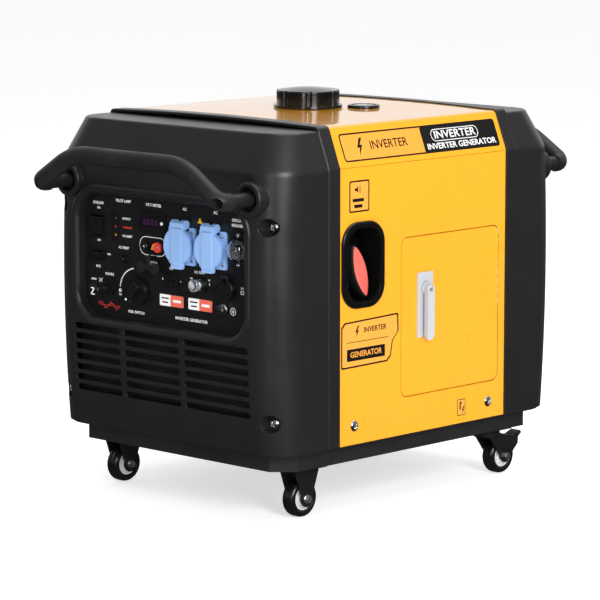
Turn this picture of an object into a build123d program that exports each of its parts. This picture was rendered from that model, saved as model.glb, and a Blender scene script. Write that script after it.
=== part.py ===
"""Closed-frame inverter generator on four small casters.

Millimetres. +Z is up and the floor is Z = 0. The control panel faces -Y, and the recoil
starter and the service door face +X. The origin is on the floor under the middle of the case.
"""
from build123d import *
from math import cos, radians, sin
import os

os.makedirs("parts", exist_ok=True)

# ------------------------------------------------------------------ driving dimensions
# Case
body_half_width = 216.0
panel_half_length = 166.7
tray_bottom = 68.6
tray_top = 94.5
crease_height = 462.0
deck_half_width = 195.0
deck_edge_height = 515.5
deck_crown = 3.5
steel = 1.5
plastic = 3.0
seam = 0.3

# End hoods: height, reach of the end face from the centre, half width, corner radius
hood_rings = [
    (tray_top, 277.0, 216.0, 48.0),
    (160.0, 283.0, 216.0, 50.0),
    (273.0, 287.0, 216.0, 50.0),
    (403.0, 285.0, 216.0, 50.0),
    (crease_height, 281.0, 216.0, 49.0),
]
hood_top = (512.0, 258.0, 196.3, 44.0)
hood_back = panel_half_length + seam
crease_radius = 18.0
rim_width = 21.0
rim_proud = 1.5

# Control panel
panel_y = -272.0
panel_thickness = 3.0
window_half_width = 158.0
window_bottom = 245.0
window_top = 413.6
window_radius = 34.0
window_frame = 12.0
socket_at = [(33.0, 355.5), (90.3, 355.5)]
socket_flange = 50.0
socket_screw_pitch = 37.0
engine_switch_at = (-132.0, 368.5)
eco_switch_at = (-132.0, 328.5)
lamp_strip_at = (-98.0, 369.8)
meter_at = (-25.5, 381.0)
meter_button_at = (-6.5, 381.0)
jack_at = [(-38.0, 349.0), (-12.8, 349.0)]
ac_reset_at = (-79.8, 327.2)
fuel_knob_at = (-53.0, 286.0)
choke_at = (-108.5, 284.5)
dc_socket_at = (11.0, 306.5)
dc_reset_at = (71.5, 307.8)
dc_outlet_at = (117.0, 305.5)
breaker_at = (136.5, 358.8)
ground_at = (110.0, 279.0)

# Front grille
grille_rows = 7
grille_pitch = 14.15
grille_top_row = 230.3
slot_height = 8.5
grille_columns = [(-166.0, -76.5), (-68.5, 37.5), (46.0, 166.0)]

# Screw wells and handle bosses in the hoods
well_x = 193.0
well_heights = (393.0, 136.5)
well_radius = 11.8
well_screw_radius = 7.6
side_screw_radius = 7.3
well_floor = 264.0
boss_x = 172.0
boss_z = 429.0
boss_radius = 22.5
boss_recess = 16.5
boss_face = 293.0

# Carrying handles
tube_radius = 12.0
spacer_radius = 10.0
handle_end = 325.0
handle_reach = 343.0
handle_rise = 43.0
handle_half_flat = 104.0

# Right side
door_y = (-46.4, 153.8)
door_z = (145.0, 361.0)
door_radius = 12.0
door_gap = 1.0
door_hinge_gap = 1.5
door_pan_inset = 12.0
strip_x = 211.0
door_pan_depth = 10.0
door_hinge = (210.0, 161.0)
door_hinge_heights = (183.0, 323.0)
folded_edge = 1.1
latch_at = (0.3, 267.0)
latch_axis_z = 289.0
latch_pin_z = 292.0
cup_at = (-122.7, 332.8)
cup_flange = (82.0, 115.0)
cup_mouth = (64.0, 98.0)
cup_sleeve = (68.5, 102.5)
cup_depth = 42.0
grip_at = (-118.5, 323.0)
grip_length = 82.0
grip_width = 26.0
grip_tilt = 19.0
side_screw_at = [(-137.8, 119.5), (132.6, 117.3)]

# Top
cap_radius = 43.5
cap_ring_radius = 47.5
cap_base = 519.3
cap_top = 547.0
neck_radius = 34.0
gauge_at = (58.0, 50.0)
gauge_radius = 22.3

# Casters
wheel_radius = 25.0
wheel_width = 20.0
caster_x = 169.4
front_axle_y = -194.0
rear_axle_y = 210.0
swivel_trail = 25.0
pedal_width = 17.0
tray_half_width = 200.0
tray_half_length = 255.0
tray_chamfer = 26.6
frame_x = 184.0

# Engine
crank_y = -95.0
crank_z = 235.0
fit = 0.05
clear = 0.3


# ------------------------------------------------------------------ shared planes and profiles
def panel_plane(proud=0.0):
    """Drawing plane over the control panel: local x is X, local y is Z, normal -Y."""
    return Plane(origin=(0, panel_y - proud, 0), x_dir=(1, 0, 0), z_dir=(0, -1, 0))


def side_plane(x):
    """Drawing plane on the +X side: local x is Y, local y is Z, normal +X."""
    return Plane(origin=(x, 0, 0), x_dir=(0, 1, 0), z_dir=(1, 0, 0))


def end_plane(y):
    """Drawing plane across the machine: local x is X, local y is Z, normal -Y."""
    return Plane(origin=(0, y, 0), x_dir=(1, 0, 0), z_dir=(0, -1, 0))


def panel_disc(at, radius, proud, depth):
    """Round bar on the control panel, from depth behind its face to proud in front."""
    with BuildPart() as disc:
        with BuildSketch(panel_plane(-depth)):
            with Locations(at):
                Circle(radius)
        extrude(amount=depth + proud)
    return disc.part


def panel_block(at, size, radius, proud, depth):
    """Round-cornered block on the control panel, from depth behind its face to proud."""
    with BuildPart() as block:
        with BuildSketch(panel_plane(-depth)):
            with Locations(at):
                RectangleRounded(size[0], size[1], radius)
        extrude(amount=depth + proud)
    return block.part


def shell_outline(grow, bottom):
    """Cross-section of the case with its sloping shoulders and crowned deck."""
    half = body_half_width + grow
    shoulder = deck_half_width + grow * 0.7
    edge = deck_edge_height + grow
    with BuildSketch() as outline:
        with BuildLine():
            Polyline((-shoulder, edge), (-half, crease_height), (-half, bottom),
                     (half, bottom), (half, crease_height), (shoulder, edge))
            ThreePointArc((shoulder, edge), (0, edge + deck_crown), (-shoulder, edge))
        make_face()
        fillet(outline.vertices().group_by(Axis.Y)[-1], 7)
    return outline.face()


def hood_outline(height, reach, half, radius, inset, back):
    """Half-plan of an end hood at one height, open towards the middle of the machine."""
    depth = reach - inset - back
    with BuildSketch(Plane.XY.offset(height)) as outline:
        with Locations((0, -(reach - inset + back) / 2)):
            Rectangle(2 * (half - inset), depth)
        fillet(outline.vertices().group_by(Axis.Y)[0], radius - inset)
    return outline.sketch


def hood_block(inset, back, edge_radius):
    """Solid block of an end hood, drawn inset from its outer skin."""
    with BuildPart() as block:
        for ring in hood_rings:
            add(hood_outline(*ring, inset, back))
        loft()
        add(hood_outline(*hood_rings[-1], inset, back))
        top_height, top_reach, top_half, top_radius = hood_top
        add(hood_outline(top_height - inset, top_reach, top_half, top_radius, inset, back))
        loft()
        top_edges = block.faces().sort_by(Axis.Z)[-1].edges()
        fillet(top_edges.sort_by(Axis.Y)[:-1], edge_radius)
        crease = block.edges().filter_by(lambda e: abs(e.center().Z - crease_height) < 0.5)
        fillet(crease.sort_by(Axis.Y)[:5], crease_radius - inset)
    return block.part


def hood_shell():
    """Thin end hood with its rim band, handle bosses and screw wells, at the -Y end."""
    outer = hood_block(0.0, hood_back, 5.0)
    inner = hood_block(plastic, hood_back - 20, 3.0)
    with BuildPart() as wells:
        for height in well_heights:
            with BuildSketch(end_plane(-well_floor + plastic)):
                with Locations((-well_x, height), (well_x, height)):
                    Circle(well_radius + plastic)
            extrude(amount=40)
        add(outer, mode=Mode.INTERSECT)
    with BuildPart() as rim:
        with BuildSketch(end_plane(-hood_back)):
            add(shell_outline(rim_proud, tray_top))
            add(shell_outline(rim_proud - 4.5, tray_top - 10), mode=Mode.SUBTRACT)
        extrude(amount=rim_width)
        front_loop = rim.faces().sort_by(Axis.Y)[0].outer_wire().edges()
        fillet(front_loop.filter_by(lambda e: e.center().Z > tray_top + 1), 1.8)
    with BuildPart() as shell:
        add(outer)
        add(inner, mode=Mode.SUBTRACT)
        add(rim.part)
        add(wells.part)
        with BuildSketch(end_plane(-262)):
            with Locations((-boss_x, boss_z), (boss_x, boss_z)):
                Circle(boss_radius)
        extrude(amount=boss_face - 262)
        boss_rims = shell.edges().filter_by(GeomType.CIRCLE).group_by(Axis.Y)[0]
        fillet(boss_rims, 2.5)
        with BuildSketch(end_plane(-boss_face + 12)):
            with Locations((-boss_x, boss_z), (boss_x, boss_z)):
                Circle(boss_recess)
        extrude(amount=20, mode=Mode.SUBTRACT)
        with BuildSketch(end_plane(-262 + 1)):
            with Locations((-boss_x, boss_z), (boss_x, boss_z)):
                Circle(5.3)
        extrude(amount=40, mode=Mode.SUBTRACT)
        for height in well_heights:
            with BuildSketch(end_plane(-well_floor)):
                with Locations((-well_x, height), (well_x, height)):
                    Circle(well_radius)
            extrude(amount=60, mode=Mode.SUBTRACT)
            with BuildSketch(end_plane(-well_floor + 10)):
                with Locations((-well_x, height), (well_x, height)):
                    Circle(2.6)
            extrude(amount=30, mode=Mode.SUBTRACT)
    return shell.part


# ------------------------------------------------------------------ base, frame and covers
with BuildSketch() as tray_mouth:
    Rectangle(2 * tray_half_width - 5, 2 * tray_half_length - 5)
    chamfer(tray_mouth.vertices(), tray_chamfer - 1.5)

with BuildPart() as base_tray:
    with BuildSketch(Plane.XY.offset(tray_bottom)) as tray_plan:
        Rectangle(2 * tray_half_width, 2 * tray_half_length)
        chamfer(tray_plan.vertices(), tray_chamfer)
    extrude(amount=tray_top - tray_bottom)
    offset(amount=-2.5, openings=base_tray.faces().sort_by(Axis.Z)[-1])
    with BuildSketch(Plane.XY.offset(tray_top - 2.5)) as flange_plan:
        Rectangle(2 * 213.0, 2 * 273.0)
        fillet(flange_plan.vertices(), 46)
        add(tray_mouth.sketch, mode=Mode.SUBTRACT)
    extrude(amount=2.5 - 0.2)
    with BuildSketch(Plane.XY.offset(tray_bottom)):
        with GridLocations(240, 320, 2, 2):
            Circle(4.5)
    extrude(amount=5, mode=Mode.SUBTRACT)
base_tray.part.label = "base_tray"
export_step(base_tray.part, "parts/base_tray.step")

with BuildPart() as inner_frame:
    for side in (-1, 1):
        with BuildSketch(Plane.XY.offset(tray_bottom + 2.5)):
            with Locations((side * frame_x, -66), (side * frame_x, 150)):
                Rectangle(18, 18)
        extrude(amount=405 - tray_bottom)
        with Locations((side * frame_x, 0, 406)):
            Box(18, 320, 12)
        with Locations((side * frame_x, 0, tray_bottom + 10.5)):
            Box(18, 320, 16)
    for y in (-66, 110):
        with Locations((0, y, 412)):
            Box(2 * frame_x, 20, 12)
    for y in (-150, -40):
        with Locations((0, y, tray_bottom + 16.5)):
            Box(2 * frame_x, 24, 28)
inner_frame.part.label = "inner_frame"
export_step(inner_frame.part, "parts/inner_frame.step")

hood = hood_shell()

with BuildPart() as window_ring:
    frame_size = (2 * (window_half_width + window_frame), window_top - window_bottom + 2 * window_frame)
    window_mid = (window_top + window_bottom) / 2
    with BuildSketch(panel_plane()):
        with Locations((0, window_mid)):
            RectangleRounded(*frame_size, window_radius + window_frame)
            RectangleRounded(2 * window_half_width, window_top - window_bottom, window_radius,
                             mode=Mode.SUBTRACT)
    extrude(amount=16.5)
    mouth = window_ring.faces().sort_by(Axis.Y)[0].inner_wires()[0].edges()
    fillet(mouth, 7)
    rim_edge = window_ring.faces().sort_by(Axis.Y)[0].outer_wire().edges()
    fillet(rim_edge, 3)

with BuildPart() as front_cover:
    add(hood)
    with BuildSketch(panel_plane(-1)):
        with Locations((0, window_mid)):
            RectangleRounded(frame_size[0] - 2, frame_size[1] - 2, window_radius + window_frame)
    extrude(amount=60, mode=Mode.SUBTRACT)
    add(window_ring.part)
    with BuildSketch(end_plane(-262)):
        with Locations((-boss_x, boss_z), (boss_x, boss_z)):
            Circle(boss_radius)
            Circle(boss_recess, mode=Mode.SUBTRACT)
    extrude(amount=boss_face - 264)
    with BuildSketch(end_plane(-255)):
        for row in range(grille_rows):
            row_z = grille_top_row - row * grille_pitch
            for left, right in grille_columns:
                with Locations(((left + right) / 2, row_z)):
                    RectangleRounded(right - left, slot_height, slot_height / 2 - 0.1)
    extrude(amount=60, mode=Mode.SUBTRACT)
    with BuildSketch(end_plane(-266)):
        with Locations((0, 178)):
            Rectangle(2 * 172.0, 108)
    extrude(amount=2)
    with BuildSketch(end_plane(-266)):
        with Locations((-72.5, 178), (41.7, 178)):
            Rectangle(3, 100)
    extrude(amount=13.5)
front_cover.part.label = "front_cover"
export_step(front_cover.part, "parts/front_cover.step")

exhaust_at = (-95.0, 190.0)
with BuildPart() as rear_cover:
    add(mirror(hood, about=Plane.XZ))
    with BuildSketch(end_plane(300)):
        for row in range(13):
            row_z = 400 - row * grille_pitch
            for left, right in ((-150, -54), (-48, 48), (54, 150)):
                with Locations(((left + right) / 2, row_z)):
                    RectangleRounded(right - left, slot_height, slot_height / 2 - 0.1)
        with Locations(exhaust_at):
            Circle(24)
    extrude(amount=60, mode=Mode.SUBTRACT)
rear_cover.part.label = "rear_cover"
export_step(rear_cover.part, "parts/rear_cover.step")

with BuildPart() as top_cover:
    with BuildSketch(end_plane(panel_half_length)):
        add(shell_outline(0, crease_height - 40))
        add(shell_outline(-steel, crease_height - 60), mode=Mode.SUBTRACT)
        with Locations((0, 0)):
            Rectangle(500, 2 * (crease_height + seam), mode=Mode.SUBTRACT)
    extrude(amount=2 * panel_half_length)
    with Locations((0, 0, 520)):
        Cylinder(neck_radius + 1.5, 40, mode=Mode.SUBTRACT)
    with Locations((*gauge_at, 520)):
        Cylinder(18.5, 40, mode=Mode.SUBTRACT)
top_cover.part.label = "top_cover"
export_step(top_cover.part, "parts/top_cover.step")


def side_sheet(x_out):
    """Flat side sheet with folded front and rear edges, outer face at x_out > 0."""
    with BuildPart() as sheet:
        with BuildSketch(side_plane(x_out - steel)):
            with Locations((0, (tray_top + crease_height) / 2)):
                Rectangle(2 * panel_half_length, crease_height - tray_top - seam)
        extrude(amount=steel)
        for end in (-1, 1):
            with Locations((x_out - 5, end * (panel_half_length - steel / 2),
                            (tray_top + crease_height) / 2)):
                Box(10, steel, crease_height - tray_top - seam)
        fold_edges = sheet.edges().filter_by(Axis.Z).group_by(Axis.X)[-1]
        fillet(fold_edges, 1.2)
    return sheet.part


door_mid = ((door_y[0] + door_y[1]) / 2, (door_z[0] + door_z[1]) / 2)
door_size = (door_y[1] - door_y[0], door_z[1] - door_z[0])

with BuildPart() as right_panel:
    add(side_sheet(body_half_width))
    with BuildSketch(side_plane(body_half_width - 10)):
        with Locations(door_mid):
            RectangleRounded(*door_size, door_radius)
        with Locations(cup_at):
            RectangleRounded(cup_sleeve[0] + 1, cup_sleeve[1] + 1, 26.5)
    extrude(amount=20, mode=Mode.SUBTRACT)
    openings = right_panel.faces().sort_by(Axis.X)[-1].inner_wires()
    fillet(openings.sort_by(SortBy.LENGTH)[-1].edges(), folded_edge)
    strip_length = 187.0
    strip_mid = door_y[0] - 7.6 + strip_length / 2
    for edge, side in ((door_z[0], -1), (door_z[1], 1)):
        with Locations((strip_x + 0.6, strip_mid, edge - side * 0.5)):
            Box(1.2, strip_length, 13)
        with Locations((body_half_width - steel - 2.0, strip_mid, edge + side * 4.5)):
            Box(4.2, strip_length, 3)
    with Locations((strip_x + 0.6, door_y[0] - 0.6, door_mid[1])):
        Box(1.2, 14, door_size[1] + 12)
    with Locations((body_half_width - steel - 2.0, door_y[0] - 6.1, door_mid[1])):
        Box(4.2, 3, door_size[1] + 12)
    with Locations((strip_x - 3.4, door_y[0] - 0.6, latch_axis_z)):
        Box(8.0, 14, 18)
    for height in door_hinge_heights:
        for side in (-1, 1):
            with BuildSketch(Plane.XY.offset(height + side * 12 - 1.5)):
                with Locations((door_hinge[0], door_hinge[1])):
                    Circle(3.6)
                with Locations((212.8, 163.3)):
                    Rectangle(4.4, 4.6)
            extrude(amount=3)
        with Locations((door_hinge[0], door_hinge[1], height)):
            Cylinder(2.0, 27)
right_panel.part.label = "right_panel"
export_step(right_panel.part, "parts/right_panel.step")

with BuildPart() as left_panel:
    add(mirror(side_sheet(body_half_width), about=Plane.YZ))
    with BuildSketch(side_plane(-body_half_width - 5)):
        for row in range(9):
            with Locations((-60, 180 + row * 15), (60, 180 + row * 15)):
                RectangleRounded(90, 6, 2.9)
    extrude(amount=10, mode=Mode.SUBTRACT)
left_panel.part.label = "left_panel"
export_step(left_panel.part, "parts/left_panel.step")

# ------------------------------------------------------------------ control panel
panel_cuts = [
    (engine_switch_at, (24.5, 28.5)),
    (eco_switch_at, (20.5, 11.5)),
    (meter_at, (46.0, 20.0)),
    (dc_socket_at, (22.0, 13.5)),
]
round_cuts = [
    (socket_at[0], 22.3), (socket_at[1], 22.3), (meter_button_at, 3.0),
    (jack_at[0], 4.6), (jack_at[1], 4.6), (ac_reset_at, 4.2), (fuel_knob_at, 6.3),
    (choke_at, 4.3), (dc_reset_at, 6.3), (dc_outlet_at, 12.3), (breaker_at, 12.0),
    (ground_at, 3.3),
]
with BuildPart() as control_panel:
    with BuildSketch(panel_plane(-panel_thickness)):
        with Locations((0, window_mid)):
            RectangleRounded(2 * 169.0, 189.0, 40)
        for at, size in panel_cuts:
            with Locations(at):
                Rectangle(*size, mode=Mode.SUBTRACT)
        for at, radius in round_cuts:
            with Locations(at):
                Circle(radius, mode=Mode.SUBTRACT)
    extrude(amount=panel_thickness - 0.1)
control_panel.part.label = "control_panel"
export_step(control_panel.part, "parts/control_panel.step")

hinge_z = socket_at[0][1] + 29.0
hinge_y = panel_y - 6.6
with BuildPart() as ac_sockets:
    for x, z in socket_at:
        add(panel_block((x, z), (socket_flange, socket_flange), 3, 3, 0))
        add(panel_disc((x, z), 21.5, 8, 22))
        with BuildSketch(panel_plane(8)):
            with Locations((x, z)):
                Circle(19.5)
        extrude(amount=-17.5, mode=Mode.SUBTRACT)
        with BuildSketch(panel_plane()):
            with Locations((x - 9.5, z), (x + 9.5, z)):
                Circle(2.45)
            with Locations(*[(x + sx * socket_screw_pitch / 2, z + sz * socket_screw_pitch / 2)
                             for sx in (-1, 1) for sz in (-1, 1)]):
                Circle(1.8)
        extrude(amount=30, both=True, mode=Mode.SUBTRACT)
        with BuildSketch(panel_plane(-1)):
            with Locations((x, z + 26)):
                Rectangle(26.4, 12)
        extrude(amount=20, mode=Mode.SUBTRACT)
        with BuildSketch(side_plane(x - 5)):
            with Locations((hinge_y, hinge_z)):
                Circle(3.8)
            with BuildLine():
                Polyline((panel_y, z + 18), (panel_y, hinge_z), (hinge_y, hinge_z + 3.8),
                         (hinge_y - 2, hinge_z), (panel_y - 3, z + 18), close=True)
            make_face()
        extrude(amount=10)
        with BuildSketch(side_plane(x - 11.8)):
            with Locations((hinge_y, hinge_z)):
                Circle(1.5)
        extrude(amount=23.6)
ac_sockets.part.label = "ac_sockets"
export_step(ac_sockets.part, "parts/ac_sockets.step")

for side, (x, z) in zip(("left", "right"), socket_at):
    with BuildPart() as socket_lid:
        with BuildSketch(panel_plane(8.6)):
            with Locations((x, z)):
                Circle(24.5)
            with Locations((x, z + 16)):
                Rectangle(25, 26)
            with Locations((x, z - 25.5)):
                RectangleRounded(21, 9, 3)
        extrude(amount=4.6)
        with BuildSketch(panel_plane(13.2)):
            with Locations((x, z - 0.5)):
                RectangleRounded(20, 49, 2)
        extrude(amount=1.6)
        fillet(socket_lid.faces().sort_by(Axis.Y)[0].edges(), 0.8)
        with BuildSketch(side_plane(x - 12.5)):
            with Locations((hinge_y, hinge_z)):
                Circle(5.8)
            with BuildLine():
                Polyline((hinge_y - 3, hinge_z - 6), (hinge_y - 6.6, hinge_z - 6),
                         (hinge_y - 6.6, hinge_z + 2), (hinge_y - 3, hinge_z + 4.4), close=True)
            make_face()
        extrude(amount=25)
        with BuildSketch(side_plane(x - 5.4)):
            with Locations((hinge_y + 4, hinge_z - 1)):
                Rectangle(16.2, 14)
        extrude(amount=10.8, mode=Mode.SUBTRACT)
        with BuildSketch(side_plane(x - 12.1)):
            with Locations((hinge_y, hinge_z)):
                Circle(1.5 + fit)
        extrude(amount=24.2, mode=Mode.SUBTRACT)
    socket_lid.part.label = f"socket_lid_{side}"
    export_step(socket_lid.part, f"parts/socket_lid_{side}.step")

rocker_axis_y = panel_y - 1.1
trunnion_radius = 0.8
with BuildPart() as panel_trims:
    for at, size in ((engine_switch_at, (29.0, 32.5)), (eco_switch_at, (25.0, 15.5))):
        with BuildSketch(panel_plane()):
            with Locations(at):
                RectangleRounded(*size, 1.5)
                Rectangle(size[0] - 5.0, size[1] - 4.4, mode=Mode.SUBTRACT)
        extrude(amount=2.5)
        with BuildSketch(panel_plane(-24)):
            with Locations(at):
                Rectangle(size[0] - 4.6, size[1] - 4.1)
                Rectangle(size[0] - 7.0, size[1] - 6.4, mode=Mode.SUBTRACT)
        extrude(amount=14)
    for at, width in ((engine_switch_at, 27.0), (eco_switch_at, 23.0)):
        with BuildSketch(side_plane(at[0] - width / 2)):
            with Locations((rocker_axis_y, at[1])):
                Circle(trunnion_radius + fit)
        extrude(amount=width, mode=Mode.SUBTRACT)
    add(panel_block(lamp_strip_at, (14.5, 38.0), 1.5, 0.8, 0))
    add(panel_block((meter_at[0], meter_at[1]), (53.0, 26.5), 1.5, 1.6, 0))
    add(panel_block(meter_at, (45.5, 19.5), 1.0, 0.5, 20))
    with BuildSketch(panel_plane(-25)):
        with Locations(meter_button_at):
            Circle(2.6)
    extrude(amount=30, mode=Mode.SUBTRACT)
    with BuildSketch(panel_plane(0.9)):
        with Locations((meter_at[0] - 6.5, meter_at[1])):
            Rectangle(34, 13)
    extrude(amount=5, mode=Mode.SUBTRACT)
    for at, outer, bore, height in ((ac_reset_at, 6.5, 4.0, 2.5), (dc_reset_at, 9.5, 6.0, 5.0),
                                    (choke_at, 9.0, 4.05, 4.0), (fuel_knob_at, 9.0, 6.05, 2.0)):
        with BuildSketch(panel_plane()):
            with Locations(at):
                Circle(outer)
                Circle(bore, mode=Mode.SUBTRACT)
        extrude(amount=height)
panel_trims.part.label = "panel_trims"
export_step(panel_trims.part, "parts/panel_trims.step")

for name, at, size in (("engine_rocker", engine_switch_at, (23.4, 27.2)),
                       ("eco_rocker", eco_switch_at, (19.4, 10.4))):
    reach = size[1] / 2
    tip = 3.2 if name == "engine_rocker" else 2.4
    with BuildPart() as rocker:
        with BuildSketch(side_plane(at[0] - size[0] / 2)):
            with BuildLine():
                Polyline((rocker_axis_y + 2, at[1] - reach * 0.8),
                         (rocker_axis_y - tip * 0.6, at[1] - reach + 0.5),
                         (rocker_axis_y - tip, at[1]), (rocker_axis_y - tip * 1.7, at[1] + reach - 1.2),
                         (rocker_axis_y + 2, at[1] + reach * 0.8), close=True)
            make_face()
        extrude(amount=size[0])
        fillet(rocker.edges().filter_by(Axis.X).sort_by(Axis.Y)[:3], 0.6)
        with BuildSketch(side_plane(at[0] - size[0] / 2 - 1.4)):
            with Locations((rocker_axis_y, at[1])):
                Circle(trunnion_radius)
        extrude(amount=size[0] + 2.8)
    rocker.part.label = name
    export_step(rocker.part, f"parts/{name}.step")

for name, at, radius, proud in (("ac_reset_button", ac_reset_at, 3.7, 7.0),
                                ("dc_reset_button", dc_reset_at, 5.6, 21.5),
                                ("meter_button", meter_button_at, 2.3, 3.2)):
    with BuildPart() as button:
        add(panel_disc(at, radius, proud, 8))
        if name == "dc_reset_button":
            with BuildSketch(panel_plane(9)):
                with Locations(at):
                    Circle(7.9)
            extrude(amount=proud - 9)
        fillet(button.faces().sort_by(Axis.Y)[0].edges(), 1.0)
    button.part.label = name
    export_step(button.part, f"parts/{name}.step")

choke_proud = 33.0
with BuildPart() as choke_knob:
    add(panel_disc(choke_at, 4.0, choke_proud - 4, 26))
    with BuildSketch(panel_plane(choke_proud - 13)):
        with Locations(choke_at):
            Circle(8.5)
    extrude(amount=13, taper=-6)
    fillet(choke_knob.faces().sort_by(Axis.Y)[0].edges(), 1.5)
choke_knob.part.label = "choke_knob"
export_step(choke_knob.part, "parts/choke_knob.step")

with BuildPart() as fuel_knob:
    add(panel_disc(fuel_knob_at, 6.0, 3, 14))
    with BuildSketch(panel_plane(2.4)):
        with Locations(fuel_knob_at):
            Circle(19.5)
    extrude(amount=5, taper=6)
    with BuildSketch(panel_plane(7.4)):
        with Locations(Location((*fuel_knob_at, 0), (0, 0, 50))):
            RectangleRounded(33, 13, 3)
    extrude(amount=9, taper=5)
    fillet(fuel_knob.faces().sort_by(Axis.Y)[0].edges(), 1.2)
fuel_knob.part.label = "fuel_knob"
export_step(fuel_knob.part, "parts/fuel_knob.step")

cover_axis_z = 335.0
cover_axis_y = panel_y - 9.0
outlet_hinge_z = dc_outlet_at[1] + 15.5
outlet_hinge_y = panel_y - 6.2
with BuildPart() as outlet_bodies:
    add(panel_block(dc_socket_at, (26.0, 17.5), 2, 2.5, 0))
    add(panel_block(dc_socket_at, (21.6, 13.1), 1, 0.5, 18))
    with BuildSketch(panel_plane(2.5)):
        with Locations((dc_socket_at[0] - 4.2, dc_socket_at[1])):
            Rectangle(2.0, 7.0)
        with Locations((dc_socket_at[0] + 4.2, dc_socket_at[1])):
            Rectangle(7.0, 2.0)
    extrude(amount=-14, mode=Mode.SUBTRACT)
    for at in jack_at:
        add(panel_disc(at, 6.2, 5, 0))
        add(panel_disc(at, 4.3, 1, 18))
        with BuildSketch(panel_plane(6)):
            with Locations(at):
                Circle(2.1)
        extrude(amount=-20, mode=Mode.SUBTRACT)
    jack_mid = (jack_at[0][0] + jack_at[1][0]) / 2
    for side in (-1, 1):
        with BuildSketch(side_plane(jack_mid + side * 5.6 - 0.8)):
            with Locations((cover_axis_y, cover_axis_z)):
                Circle(2.2)
            with Locations(((cover_axis_y + panel_y) / 2, cover_axis_z)):
                Rectangle(panel_y - cover_axis_y, 4.4)
        extrude(amount=1.6)
    with BuildSketch(side_plane(jack_mid - 5.6)):
        with Locations((cover_axis_y, cover_axis_z)):
            Circle(1.1)
    extrude(amount=11.2)
    add(panel_disc(dc_outlet_at, 15.0, 3, 0))
    add(panel_disc(dc_outlet_at, 12.0, 5, 26))
    with BuildSketch(panel_plane(6)):
        with Locations(dc_outlet_at):
            Circle(10.3)
    extrude(amount=-22, mode=Mode.SUBTRACT)
    with BuildSketch(side_plane(dc_outlet_at[0] - 2.5)):
        with BuildLine():
            Polyline((panel_y, dc_outlet_at[1] + 12), (panel_y, outlet_hinge_z + 1),
                     (outlet_hinge_y, outlet_hinge_z + 2.4), (outlet_hinge_y - 2.2, outlet_hinge_z),
                     (panel_y - 3, dc_outlet_at[1] + 12), close=True)
        make_face()
    extrude(amount=5)
    with BuildSketch(side_plane(dc_outlet_at[0] - 5.8)):
        with Locations((outlet_hinge_y, outlet_hinge_z)):
            Circle(1.0)
    extrude(amount=11.6)
    add(panel_disc(ground_at, 7.5, 1.2, 0))
    add(panel_disc(ground_at, 3.0, 16, 12))
outlet_bodies.part.label = "outlet_bodies"
export_step(outlet_bodies.part, "parts/outlet_bodies.step")

with BuildPart() as dc_outlet_flap:
    with BuildSketch(panel_plane(5.5)):
        with Locations(dc_outlet_at):
            Circle(14.3)
        with Locations((dc_outlet_at[0], dc_outlet_at[1] - 14.5)):
            RectangleRounded(9, 8, 2.5)
        with Locations((dc_outlet_at[0], dc_outlet_at[1] + 11)):
            Rectangle(13, 8)
    extrude(amount=3.2)
    fillet(dc_outlet_flap.faces().sort_by(Axis.Y)[0].edges(), 0.9)
    with BuildSketch(side_plane(dc_outlet_at[0] - 6.2)):
        with Locations((outlet_hinge_y, outlet_hinge_z)):
            Circle(2.6)
    extrude(amount=12.4)
    with BuildSketch(side_plane(dc_outlet_at[0] - 2.9)):
        with Locations((outlet_hinge_y + 1, outlet_hinge_z - 1)):
            Rectangle(12, 12)
    extrude(amount=5.8, mode=Mode.SUBTRACT)
    with BuildSketch(side_plane(dc_outlet_at[0] - 5.9)):
        with Locations((outlet_hinge_y, outlet_hinge_z)):
            Circle(1.0 + fit)
    extrude(amount=11.8, mode=Mode.SUBTRACT)
dc_outlet_flap.part.label = "dc_outlet_flap"
export_step(dc_outlet_flap.part, "parts/dc_outlet_flap.step")

with BuildPart() as dust_cover:
    drop = jack_at[0][1] - cover_axis_z
    for x, z in jack_at:
        with BuildSketch(end_plane(cover_axis_y + 1)):
            with Locations((x, cover_axis_z - drop)):
                Circle(7.5)
        extrude(amount=3.5)
    with BuildSketch(end_plane(cover_axis_y + 1)):
        with Locations(((jack_at[0][0] + jack_at[1][0]) / 2, cover_axis_z - drop)):
            Rectangle(jack_at[1][0] - jack_at[0][0], 6)
        with Locations(((jack_at[0][0] + jack_at[1][0]) / 2, cover_axis_z - drop / 2 + 0.5)):
            Rectangle(6, drop + 1)
    extrude(amount=2.4)
    with BuildSketch(side_plane(jack_mid - 4.4)):
        with Locations((cover_axis_y, cover_axis_z)):
            Circle(2.6)
    extrude(amount=8.8)
    with BuildSketch(side_plane(jack_mid - 5)):
        with Locations((cover_axis_y, cover_axis_z)):
            Circle(1.1 + fit)
    extrude(amount=10, mode=Mode.SUBTRACT)
dust_cover.part.label = "dust_cover"
export_step(dust_cover.part, "parts/dust_cover.step")

lever_axis_y = panel_y + 2.5
with BuildPart() as breaker_body:
    with BuildSketch(panel_plane()):
        with Locations(breaker_at):
            SlotOverall(50, 27, rotation=90)
            Rectangle(10, 15, mode=Mode.SUBTRACT)
    extrude(amount=2.5)
    with BuildSketch(panel_plane(-20)):
        with Locations(breaker_at):
            Circle(11.5)
            Rectangle(10, 15, mode=Mode.SUBTRACT)
    extrude(amount=20)
    with BuildSketch(side_plane(breaker_at[0] - 7.0)):
        with Locations((lever_axis_y, breaker_at[1])):
            Circle(1.4 + fit)
    extrude(amount=14, mode=Mode.SUBTRACT)
breaker_body.part.label = "breaker_body"
export_step(breaker_body.part, "parts/breaker_body.step")

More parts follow.
